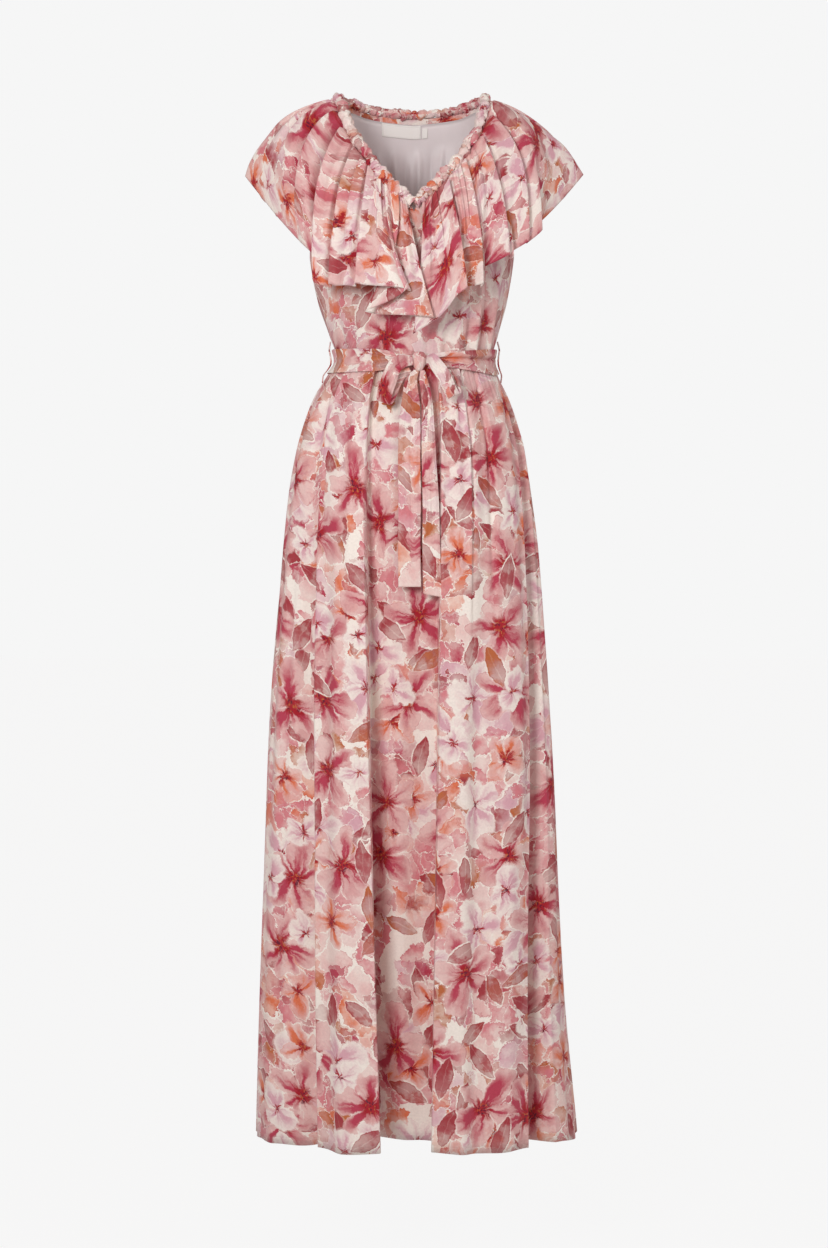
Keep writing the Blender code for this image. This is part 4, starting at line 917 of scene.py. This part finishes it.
def off_neck(share, side, over):
    """A point beside the rolled neck edge on the collar's side, and over the line that it falls along."""
    neck = neck_point(share, side)
    step = 0.01
    along = (neck_point(min(share + step, 1), side) - neck_point(max(share - step, 0), side)).normalized()
    away = mean_hem(share, side) - neck
    away = (away - along * away.dot(along)).normalized()
    raised = (Vector((0, 0, 1)) - away * away.z).normalized()
    return neck + away * (CASING_RADIUS - TUCK) + raised * over


CollarLine = namedtuple("CollarLine", "start mean raised lift along")


@lru_cache(None)
def collar_line(share, side):
    """Where the collar leaves the neck, where its hem would lie unfolded and the way along it, and how
    it rises between."""
    start = off_neck(share, side, CASING_SEAM)
    mean = mean_hem(share, side)
    chord = (mean - start).normalized()
    raised = (Vector((0, 0, 1)) - chord * chord.z).normalized()
    along = (mean_hem(min(share + 0.01, 1), side) - mean_hem(max(share - 0.01, 0), side)).normalized()
    lift = read(COLLAR_RISE, share, "left" if side < 0 else "right")
    return CollarLine(start, mean, raised, lift, along)


def collar_point(share, hem, fall, side):
    """The collar between a share of the neck edge (fall 0) and a point of its hem (fall 1).

    Its folds stand out as they leave the neck, and lean sideways only further down.
    """
    line = collar_line(share, side)
    control = (line.start + Vector((line.mean.x, hem.y, line.mean.z))) / 2 + line.raised * line.lift
    puff = SHOULDER_PUFF * math.exp(-((share - SHOULDER_SHARE) / PUFF_SPAN) ** 2)
    puff *= math.sin(math.pi * fall ** PUFF_FALL)
    return (
        line.start * (1 - fall) ** 2 + control * (2 * fall * (1 - fall)) + hem * fall**2
        + line.raised * puff
    )


@lru_cache(None)
def bodice_top(share, side, face):
    """Half a bodice panel's top edge, from its centre to the side seam. Face is front or back."""
    if share <= NECK_PART:
        along = share / NECK_PART
        edge = off_neck(mix(0 if face == "front" else 1, SHOULDER_SHARE, along), side, -CASING_SEAM)
        if face == "front":
            middle = max(0.0, 1 - along / V_PART)
            edge.y += V_DIP * max(0.0, 1 - along / V_BACK_PART)
            return Vector((edge.x * (1 - middle), edge.y, edge.z - V_DIP * middle))
        return edge
    outer = armhole_point(0, side, face)
    if share <= SHOULDER_PART:
        along = (share - NECK_PART) / (SHOULDER_PART - NECK_PART)
        return bodice_top(NECK_PART, side, face).lerp(outer, along)
    return armhole_point((share - SHOULDER_PART) / (1 - SHOULDER_PART), side, face)


def armhole_point(share, side, face):
    """A point of the armhole, from the shoulder seam to the side seam."""
    drop = read(ARMHOLE, share, "drop")
    width = read(FIGURE, drop, "left" if side < 0 else "right")
    return Vector((side * width * read(ARMHOLE, share, "reach"), read(ARMHOLE, share, face), -drop))


def bodice_point(angle, rise, face, gather=0.0, drape=0.0):
    """A point of a bodice panel. Angle is that at the waist, in degrees; rise is 0 at the waist."""
    around = angle if face == "front" else 180 - angle
    side = -1 if around < 0 else 1
    share = min(abs(around) / 90, 1.0)
    top = bodice_top(share, side, face)
    width = read(FIGURE, -top.z, "left" if side < 0 else "right")
    end = math.degrees(math.asin(max(-1.0, min(1.0, top.x / width))))
    fan = min(share / SHOULDER_PART, (1 - share) / (1 - SHOULDER_PART))
    fan = 1 - ARMHOLE_FAN * fan * math.sin(math.pi * rise)
    turn = math.radians(mix(around, end, rise) * fan)
    drop = mix(waist_drop(math.radians(angle)) - SEAM / 2, -top.z, rise)
    puff = 0.65 * math.sin(math.pi * min(1.0, rise * 1.6)) + 0.35 * (1 - rise)
    point = figure(turn if face == "front" else math.pi - turn, drop, gather * puff + drape)
    end = math.radians(end)
    under_top = figure(end if face == "front" else math.pi - end, -top.z)
    point.y += (top - under_top).y * rise ** OVER_SHOULDER
    return point


def inside_back(angle, rise, depth):
    """A point inside the back bodice, so far in from its outer face."""
    low = min(rise, 1 - 1 / BODICE_ROWS)
    across = bodice_point(angle + 2, rise, "back") - bodice_point(angle - 2, rise, "back")
    up = bodice_point(angle, low + 1 / BODICE_ROWS, "back") - bodice_point(angle, low, "back")
    return bodice_point(angle, rise, "back") - across.cross(up).normalized() * depth


def inside_top(angle, below, depth):
    """A point inside the back bodice, so far below its top edge and in from its outer face."""
    top = inside_back(angle, 1, depth)
    lower = inside_back(angle, 1 - 1 / BODICE_ROWS, depth)
    return top + (lower - top).normalized() * below


def place_at(table, share):
    """The place in a table of folds at a share of the way along it, as (row number, share to the next)."""
    last = len(table) - 1
    i = min(int(share * last), last - 1)
    return i, share * last - i


def uneven(along, seed, across=0.0):
    """A steady chance value near -1 to 1 that changes over about one unit."""
    return 1.6 * noise.noise(Vector((along, seed + 0.37, across)))


def ripple(way, seed):
    """Uneven gathers, about one for each unit of way, from -1 to 1."""
    swing = way + 0.55 * uneven(way * 0.45, seed)
    return math.sin(2 * math.pi * swing) * (0.65 + 0.45 * uneven(way * 0.8, seed + 40))


def pleated(way, seed):
    """Round gathers with narrow hollows between them, about one for each unit of way, from 0 to 1."""
    swing = way + 0.5 * uneven(way * 0.5, seed)
    height = 0.75 + 0.35 * uneven(way * 0.7, seed + 20)
    return height * abs(math.sin(math.pi * swing)) ** 0.5


def ease(value):
    """0 below 0 and 1 over 1, with a smooth rise between."""
    return smooth(min(max(value, 0.0), 1.0))


def window(share, start, end, fade=0.12):
    """1 between start and end of a fold's length. It fades out at either end unless it runs off it."""
    rise = 1.0 if start <= 0 else ease((share - start) / fade + 1)
    return rise * (1.0 if end >= 1 else ease((end - share) / fade + 1))


def creased(creases, angle, share):
    """How far the listed creases move the cloth outwards there."""
    out = 0.0
    for crease in creases:
        off = (angle - crease.angle) / crease.width
        if abs(off) < 3:
            out += crease.depth * math.exp(-off * off) * window(share, crease.start, crease.end)
    return out


def folded(folds, share, fall):
    """How far the crisp folds move the collar outwards there, and along its hem.

    A fold's crest leans over the hollow beside it.
    """
    out = along = 0.0
    for fold in folds:
        off = (share - fold.share) / fold.width
        if abs(off) < 4:
            step = math.tanh(FOLD_CRISP * off) * window(fall, fold.start, fold.end, FOLD_FADE)
            out -= fold.depth * step * math.exp(-off * off / 3)
            along -= FOLD_LEAN * abs(fold.depth) * step * math.exp(-off * off)
    return out, along


def unrolled(points, lie="straight"):
    """Flat coordinates of a grid of cloth in metres, from its own lengths, with row 0 at v = 0.

    Its rows lie straight in the cloth, level on the figure or round as on a flounce.
    """
    across = np.linalg.norm(np.diff(points, axis=1), axis=2)
    up = np.linalg.norm(np.diff(points, axis=0), axis=2)
    u = np.concatenate([np.zeros((len(points), 1)), np.cumsum(across, axis=1)], axis=1)
    v = np.concatenate([np.zeros((1, points.shape[1])), np.cumsum(up, axis=0)], axis=0)
    if lie == "level":
        steps = np.linalg.norm(np.diff(points[:, :, :2], axis=1), axis=2)
        u = np.concatenate([np.zeros((len(points), 1)), np.cumsum(steps, axis=1)], axis=1)
        return u - u[:, -1:] / 2, points[:, :, 2]
    if lie == "straight":
        return u - u[:, -1:] / 2, v
    outer, inner, depth = u[0, -1], u[-1, -1], v[-1].mean()
    radius = depth * outer / (outer - inner)
    turn = (u[0] - outer / 2) / radius
    return (radius - v) * np.sin(turn), radius - (radius - v) * np.cos(turn)


def edge_ways(points, edges):
    """How far each point of a grid lies from its finished edges, and 1 m where it has none."""
    u, v = unrolled(points)
    sides = np.minimum(u - u[:, :1], u[:, -1:] - u)
    ends = np.minimum(v, v[-1:] - v)
    none = np.ones(u.shape)
    return {"": none, "hem": v, "sides": sides, "ends": ends, "all": np.minimum(sides, ends)}[edges]

def piece(name, place, wall, edges="", lie="straight", closed=False, inwards=True):
    """A finished piece of the dress, with its wall and its node. Its grid of cloth goes where place
    says, for a share of the way across it and up it."""
    cut = CUTS[name]
    columns, rows = cut.grid
    shape = bmesh.new()
    bmesh.ops.create_grid(shape, x_segments=columns, y_segments=rows, size=1.0)
    flat = shape.loops.layers.uv.new("cut")
    hem = shape.verts.layers.float.new("hem_way")
    points = np.zeros((rows + 1, columns + 1, 3))
    spots = {}
    for vertex in shape.verts:
        spot = round((vertex.co.y + 1) / 2 * rows), round((vertex.co.x + 1) / 2 * columns)
        vertex.co = place(spot[1] / columns, spot[0] / rows)
        points[spot] = vertex.co
        spots[vertex] = spot
    u, v = unrolled(points, lie)
    ways = edge_ways(points, edges)
    for vertex, spot in spots.items():
        vertex[hem] = ways[spot]
    for face in shape.faces:
        face.smooth = True
        for loop in face.loops:
            spot = spots[loop.vert]
            loop[flat].uv = u[spot] + cut.shift[0], v[spot] + cut.shift[1]
    if closed:
        bmesh.ops.remove_doubles(shape, verts=shape.verts, dist=1e-6)
        bmesh.ops.recalc_face_normals(shape, faces=shape.faces)
    mesh = bpy.data.meshes.new(name)
    shape.to_mesh(mesh)
    shape.free()
    mesh.materials.append(look_for(cut.slot))
    made = bpy.data.objects.new(name, mesh)
    bpy.context.scene.collection.objects.link(made)
    solid = made.modifiers.new("wall", "SOLIDIFY")
    solid.thickness = wall
    solid.offset = -1 if inwards else 0
    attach(made, "root")
    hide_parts(name.rsplit("_", 1)[0])


def keep(point, middle):
    """A point kept on its panel's side of the side and shoulder seams, which lie in the plane y = 0."""
    way = 1 if middle else -1
    return Vector((point.x, way * max(way * point.y, SEAM / 2), point.z))


def skirt_panel(name, folds, middle):
    """One skirt panel from the waist seam to the hem, round the middle angle between its side seams."""
    cloth = bpy.context.scene.dress_cloth

    def place(across, up):
        at = place_at(folds, across)
        fall = (1 - up) ** ROWS_TO_HIP
        waist, hem = evenly(folds, at, "waist_angle"), evenly(folds, at, "hem_angle")
        angle = math.radians(mix(waist, hem, fall ** ANGLE_GROWTH))
        growth = fall ** FOLD_GROWTH
        out = mix(between(folds, at, "waist_out"), between(folds, at, "hem_out"), growth)
        along = between(folds, at, "hem_along") * growth
        drape = creased(SKIRT_CREASES, hem, fall)
        drape += cloth.drape * uneven(hem / 9, middle, 2.5 * fall)
        drape += 0.3 * cloth.drape * uneven(hem / 4, middle + 9, 5 * fall)
        drape *= ease(fall / 0.08)
        drape += cloth.waist_gather * ripple(waist / 4.2, middle) * math.exp(-fall / 0.045)
        out += drape * ease((90 - abs(hem - middle)) / 8)
        stand, lean = folded(SKIRT_PLEATS, hem, fall)
        drop = mix(waist_drop(angle) + SEAM / 2, HEM_DROP, fall)
        drop += 0.003 * uneven(hem / 12, 77) * fall**8
        return keep(figure(angle, drop, out + stand, along + lean), middle)

    piece(name, place, cloth.crepe_wall, edges="hem")


def bodice_panel(name, gathers, face):
    """A bodice panel from the waist seam up to the neck edge, shoulder seams and armholes."""
    cloth = bpy.context.scene.dress_cloth
    middle = 0 if face == "front" else 180

    def place(across, rise):
        at = place_at(gathers, across)
        angle = evenly(gathers, at, "angle")
        drape = creased(BODICE_CREASES, angle, rise)
        drape += 0.5 * cloth.drape * uneven(angle / 6, middle, 2 * rise) * math.sin(math.pi * rise)
        drape *= ease(rise / 0.06) * ease((1 - rise) / 0.10)
        drape += cloth.waist_gather * 0.8 * ripple(angle / 5, middle) * math.exp(-rise / 0.10)
        drape += 0.0008 * ripple(angle / 4.2, middle + 5) * math.exp((rise - 1) / 0.07)
        drape *= ease((90 - abs(angle - middle)) / 9)
        return keep(bodice_point(angle, rise, face, between(gathers, at, "out"), drape), middle)

    piece(name, place, cloth.crepe_wall, lie="level")


def back_lining():
    """The satin lining of the back bodice, from the waist up to the strip inside its neck edge."""
    half = 90 * SHOULDER_PART - 1

    def place(across, up):
        angle = mix(180 - half, 180 + half, across)
        rise = mix(LINING_HEM_RISE, 1, up)
        fold = 0.0040 + 0.0026 * ripple(angle / 11, 5) + 0.0010 * uneven(angle / 3, 8, 3 * rise)
        fold += creased(LINING_FOLDS, angle, rise)
        depth = LINING_INSIDE + fold * ease((0.90 - rise) / 0.12) * ease(rise / 0.2)
        if up == 1:
            return keep(inside_top(angle, BAND_DEPTH + SEAM, depth), 180)
        return keep(inside_back(angle, rise, depth), 180)

    piece("back_lining_panel", place, bpy.context.scene.dress_cloth.lining_wall)


def inside_piece(name, first, last, upper, lower, depth, edges=""):
    """A piece inside the top of the back bodice, between two distances below its top edge."""

    def place(across, up):
        return keep(inside_top(mix(first, last, across), mix(lower, upper, up), depth), 180)

    piece(name, place, bpy.context.scene.dress_cloth.lining_wall, edges)


def collar(name, side, ruffles, folds):
    """One half of the ruffle collar, from the centre front over the shoulder to the centre back."""
    cloth = bpy.context.scene.dress_cloth

    def place(across, up):
        hem = through(ruffles, 1 - across if side < 0 else across)
        fall = 1 - up
        point = collar_point(hem.share, Vector((side * hem.x, hem.y, -hem.drop)), fall, side)
        way = hem.share * cloth.collar_gathers
        line = collar_line(hem.share, side)
        out, along = folded(folds, hem.share, fall)
        out += cloth.collar_gather * pleated(way, side) * math.exp(-fall / 0.20)
        out += 0.0026 * ripple(way / 2.1, side + 7) * ease(fall / 0.12) * math.exp(-fall / 0.35)
        out += cloth.drape * uneven(way / 3.1, side + 3, 2.2 * fall) * ease(fall / 0.4)
        # both halves lie level where they are sewn together at the centre back
        sewn = ease(fall / 0.02) * ease((1 - hem.share) / 0.04)
        point += (line.raised * out + line.along * along) * sewn
        if point.y > 0:
            point.x = side * max(side * point.x, SEAM / 2)
        return point

    piece(name, place, cloth.crepe_wall, edges="hem", lie="round")


def neck_casing(name, sides, start, end, gathers):
    """The rolled neck edge between two shares of it, ruched on its elastic."""
    cloth = bpy.context.scene.dress_cloth

    def line(along):
        side = sides[0] if along < 0.5 else sides[-1]
        if len(sides) == 2:
            along = 1 - abs(2 * along - 1)
        share = mix(start, end, along)
        bump = math.exp(-((share - SHOULDER_SHARE) / 0.022) ** 2)
        return neck_point(share, side), bump

    def place(along, up):
        here, bump = line(along)
        ahead = (line(min(along + 0.004, 1))[0] - line(max(along - 0.004, 0))[0]).normalized()
        raised = (Vector((0, 0, 1)) - ahead * ahead.z).normalized()
        across = ahead.cross(raised)
        turn = 2 * math.pi * (up % 1)
        around = Vector((math.cos(turn), math.sin(turn), 0))
        # each gather puffs up, leans its own way, and is drawn in along a crooked line
        way = along * gathers
        lag = 0.42 * uneven(1.2 * around.x, gathers, 1.2 * around.y + 0.7 * way)
        puff = pleated(way + lag, gathers)
        small = abs(math.sin(2 * math.pi * (way + lag + 0.3 * uneven(1.7 * way, gathers + 8, around.y))))
        swell = CASING_RADIUS * (0.62 + 0.10 * bump) + cloth.casing_gather * puff
        swell += 0.0011 * small ** 0.6 * puff
        lean = 0.0020 * uneven(way * 0.9, gathers + 11)
        away = (across * around.x + raised * around.y) * swell
        return here + away + across * lean + raised * 0.0014 * uneven(way * 0.9, gathers + 17)

    piece(name, place, cloth.crepe_wall, closed=True)


def waist_belt():
    """The sash round the waist, over the seam, with its long folds."""

    def place(across, height):
        degrees = mix(-180, 180, across % 1)
        drop = mix(read(BELT, degrees, "bottom"), read(BELT, degrees, "top"), height)
        out = BELT_STAND + 0.0007 * uneven(degrees / 6, 3, 2 * height) - 0.0012 * (2 * height - 1) ** 8
        for fold in BELT_FOLDS:
            way = (degrees - fold.start) / (fold.end - fold.start)
            if 0 < way < 1:
                off = (height - mix(fold.at_start, fold.at_end, way)) / fold.width
                out += fold.depth * math.exp(-off * off) * ease(6 * way) * ease(6 * (1 - way))
        return figure(math.radians(degrees), drop, out)

    piece("waist_belt_band", place, bpy.context.scene.dress_cloth.crepe_wall, edges="ends", closed=True)


def belt_carrier(name, side):
    """A chain of thread from the bodice's side seam to the skirt's, round the belt."""

    def place(way, up):
        at = through(CARRIER, way)
        ahead, before = through(CARRIER, min(way + 0.02, 1)), through(CARRIER, max(way - 0.02, 0))
        down, out = ahead.drop - before.drop, ahead.out - before.out
        turn = 2 * math.pi * (up % 1)
        radius = CARRIER_RADIUS * (0.9 + 0.16 * math.sin(2 * math.pi * CARRIER_LINKS * way + turn))
        sideways = math.cos(turn) * radius / math.hypot(down, out)
        point = figure(side * math.pi / 2, at.drop, at.out)
        return point + Vector((side * sideways * down, math.sin(turn) * radius, sideways * out))

    piece(name, place, CARRIER_WALL, closed=True)


def belt_knot():
    """The bow's knot, one end of the sash wrapped round the other, with upright creases."""

    def place(across, up):
        turn = math.radians(mix(-165, 165, across))
        lift = math.radians(mix(-80, 80, up))
        crease = 1 + 0.09 * math.cos(3 * turn + 0.7) + 0.06 * math.cos(7 * turn + 1.5 * lift)
        reach = math.cos(lift) ** 0.6 * crease * (1 + 0.20 * math.sin(lift))
        return KNOT + Vector((
            math.sin(turn) * reach * KNOT_HALF.x, -math.cos(turn) * reach * KNOT_HALF.y,
            math.sin(lift) * KNOT_HALF.z,
        ))

    piece("belt_knot_wrap", place, bpy.context.scene.dress_cloth.crepe_wall)


def band(name, line):
    """A strip of the sash that follows a table of its middle line."""

    def place(across, way):
        here = through(line, way)
        tilt = math.radians(here.tilt)
        offset = across - 0.5
        crown = BAND_CROWN * (1 - (2 * offset) ** 2)
        crown += 0.0016 * uneven(4 * way, here.width * 900, 2.2 * offset) * ease(4 * way)
        for start, depth in BAND_CREASES:
            off = (offset - start - 0.10 * uneven(3 * way, 5 + 9 * start)) / BAND_CREASE_WIDTH
            crown += depth * math.exp(-off * off) * ease(5 * way) * ease(3.2 * (1 - way))
        middle = Vector((here.x + 0.0012 * uneven(6 * way, 21), here.y - crown, -here.drop))
        return middle + Vector((math.cos(tilt), 0, math.sin(tilt))) * here.width * offset

    piece(name, place, bpy.context.scene.dress_cloth.crepe_wall, edges="sides", inwards=False)


class DRESS_OT_skirt(bpy.types.Operator):
    """Cut the front and back of the skirt and gather them into the waist"""

    bl_idname = "dress.skirt"
    bl_label = "Skirt"

    def execute(self, context):
        skirt_panel("skirt_front_panel", SKIRT_FRONT_FOLDS, 0)
        skirt_panel("skirt_back_panel", SKIRT_BACK_FOLDS, 180)
        return {"FINISHED"}


class DRESS_OT_bodice(bpy.types.Operator):
    """Cut the front and back of the bodice"""

    bl_idname = "dress.bodice"
    bl_label = "Bodice"

    def execute(self, context):
        bodice_panel("bodice_front_panel", BODICE_FRONT_GATHERS, "front")
        bodice_panel("bodice_back_panel", BODICE_BACK_GATHERS, "back")
        return {"FINISHED"}


class DRESS_OT_inside(bpy.types.Operator):
    """Line the back of the bodice and sew in the blank labels"""

    bl_idname = "dress.inside"
    bl_label = "Lining and labels"

    def execute(self, context):
        cloth = context.scene.dress_cloth
        seam = BAND_DEPTH + SEAM
        half = 90 * NECK_PART - 1
        on_lining = LINING_INSIDE + cloth.lining_wall + SEAM
        back_lining()
        inside_piece("neck_band_strip", 180 - half, 180 + half, SEAM, BAND_DEPTH, cloth.crepe_wall + SEAM)
        inside_piece("neck_label_tag", *LABEL_ANGLES, seam, seam + LABEL_DEPTH, on_lining, "all")
        inside_piece("size_tab_tag", *TAB_ANGLES, seam + TAB_LOWER, seam + LABEL_DEPTH, on_lining)
        return {"FINISHED"}


class DRESS_OT_collar(bpy.types.Operator):
    """Gather both halves of the ruffle collar on to the neck edge"""

    bl_idname = "dress.collar"
    bl_label = "Ruffle collar"

    def execute(self, context):
        collar("collar_left_flounce", -1, RUFFLES_LEFT, COLLAR_FOLDS_LEFT)
        collar("collar_right_flounce", 1, RUFFLES_RIGHT, COLLAR_FOLDS_RIGHT)
        return {"FINISHED"}


class DRESS_OT_neck(bpy.types.Operator):
    """Roll and ruche the neck edge over its elastic"""

    bl_idname = "dress.neck"
    bl_label = "Neck edge"

    def execute(self, context):
        neck_casing("neck_casing_left_roll", (-1,), 0.006, 0.600, 20)
        neck_casing("neck_casing_right_roll", (1,), 0.006, 0.600, 20)
        neck_casing("neck_casing_back_roll", (-1, 1), 0.602, 1.0, 26)
        return {"FINISHED"}


class DRESS_OT_belt(bpy.types.Operator):
    """Lay the sash round the waist, through its carriers"""

    bl_idname = "dress.belt"
    bl_label = "Belt"

    def execute(self, context):
        waist_belt()
        belt_carrier("belt_carrier_left_loop", -1)
        belt_carrier("belt_carrier_right_loop", 1)
        return {"FINISHED"}


class DRESS_OT_bow(bpy.types.Operator):
    """Tie the sash in a bow with two loops and two tails"""

    bl_idname = "dress.bow"
    bl_label = "Bow"

    def execute(self, context):
        belt_knot()
        band("bow_loop_left_band", LOOP_LEFT)
        band("bow_loop_right_band", LOOP_RIGHT)
        band("belt_tail_left_band", TAIL_LEFT)
        band("belt_tail_right_band", TAIL_RIGHT)
        return {"FINISHED"}


class DRESS_OT_stage(bpy.types.Operator):
    """Set the pale floor, the soft light and the camera"""

    bl_idname = "dress.stage"
    bl_label = "Stage"

    def execute(self, context):
        scene = context.scene
        stage = scene.dress_stage

        def placed(name, data, turn, place=(0, 0, 0)):
            made = bpy.data.objects.new(name, data)
            made.location, made.rotation_euler = place, turn
            scene.collection.objects.link(made)
            return made

        shape = bmesh.new()
        bmesh.ops.create_grid(shape, x_segments=1, y_segments=1, size=60.0)
        bmesh.ops.translate(shape, verts=shape.verts, vec=(0, 0, -stage.floor_drop))
        mesh = bpy.data.meshes.new("studio_floor")
        shape.to_mesh(mesh)
        shape.free()
        mesh.materials.append(studio_floor(stage.backdrop))
        floor = placed("studio_floor", mesh, (0, 0, 0))
        # its light would fill the folds from below
        floor.visible_diffuse = False

        # the walls show pale, and give the dress less light than they show, so that its folds read
        world = bpy.data.worlds.new("studio")
        world.use_nodes = True
        tree = world.node_tree
        seen = add(tree, "LightPath").outputs["Is Camera Ray"]
        walls = add(tree, "MapRange", (seen, 0.0, 1.0, stage.walls, 1.0))
        air = tree.nodes["Background"]
        tone = add(tree, "MixRGB", (seen, opaque(stage.bounce), opaque(stage.backdrop)))
        tree.links.new(tone.outputs[0], air.inputs["Color"])
        tree.links.new(walls.outputs[0], air.inputs["Strength"])
        scene.world = world
        scene.view_settings.view_transform = "Standard"

        box = bpy.data.lights.new("key", "AREA")
        box.energy, box.size = stage.key, KEY_SIZE
        turn = (KEY_AIM - KEY_PLACE).to_track_quat("-Z", "Y").to_euler()
        placed("key", box, turn, KEY_PLACE).visible_camera = False
        sun = bpy.data.lights.new("fill", "SUN")
        sun.energy, sun.angle = stage.fill, math.radians(FILL_SPREAD)
        placed("fill", sun, [math.radians(turn) for turn in FILL_TURN])

        lens = bpy.data.cameras.new("camera")
        lens.lens, lens.sensor_width = stage.lens, 36
        level = (math.radians(90), 0, 0)
        scene.camera = placed("camera", lens, level, (0, -stage.distance, -stage.eye_drop))
        return {"FINISHED"}


OPERATORS = (
    DRESS_OT_skirt, DRESS_OT_bodice, DRESS_OT_inside, DRESS_OT_collar, DRESS_OT_neck, DRESS_OT_belt,
    DRESS_OT_bow, DRESS_OT_stage,
)


class DRESS_PT_panel(bpy.types.Panel):
    """The dress's sizes, its colours and the steps that make it"""

    bl_idname = "DRESS_PT_panel"
    bl_label = "Dress"
    bl_space_type = "VIEW_3D"
    bl_region_type = "UI"
    bl_category = "Dress"

    def draw(self, context):
        scene = context.scene
        for group in (scene.dress_cloth, scene.dress_paint, scene.dress_stage):
            box = self.layout.box()
            for name in group.__annotations__:
                box.prop(group, name)
        for step in OPERATORS:
            self.layout.operator(step.bl_idname)


CLASSES = (DressCloth, DressPaint, DressStage, *OPERATORS, DRESS_PT_panel)


def register():
    for kind in CLASSES:
        bpy.utils.register_class(kind)
    bpy.types.Scene.dress_cloth = PointerProperty(type=DressCloth)
    bpy.types.Scene.dress_paint = PointerProperty(type=DressPaint)
    bpy.types.Scene.dress_stage = PointerProperty(type=DressStage)


def unregister():
    del bpy.types.Scene.dress_stage, bpy.types.Scene.dress_paint, bpy.types.Scene.dress_cloth
    for kind in reversed(CLASSES):
        bpy.utils.unregister_class(kind)


def main():
    register()
    steps = bpy.ops.dress
    for step in (steps.skirt, steps.bodice, steps.inside, steps.collar, steps.neck, steps.belt,
                 steps.bow, steps.stage):
        step()


if __name__ == "__main__":
    main()
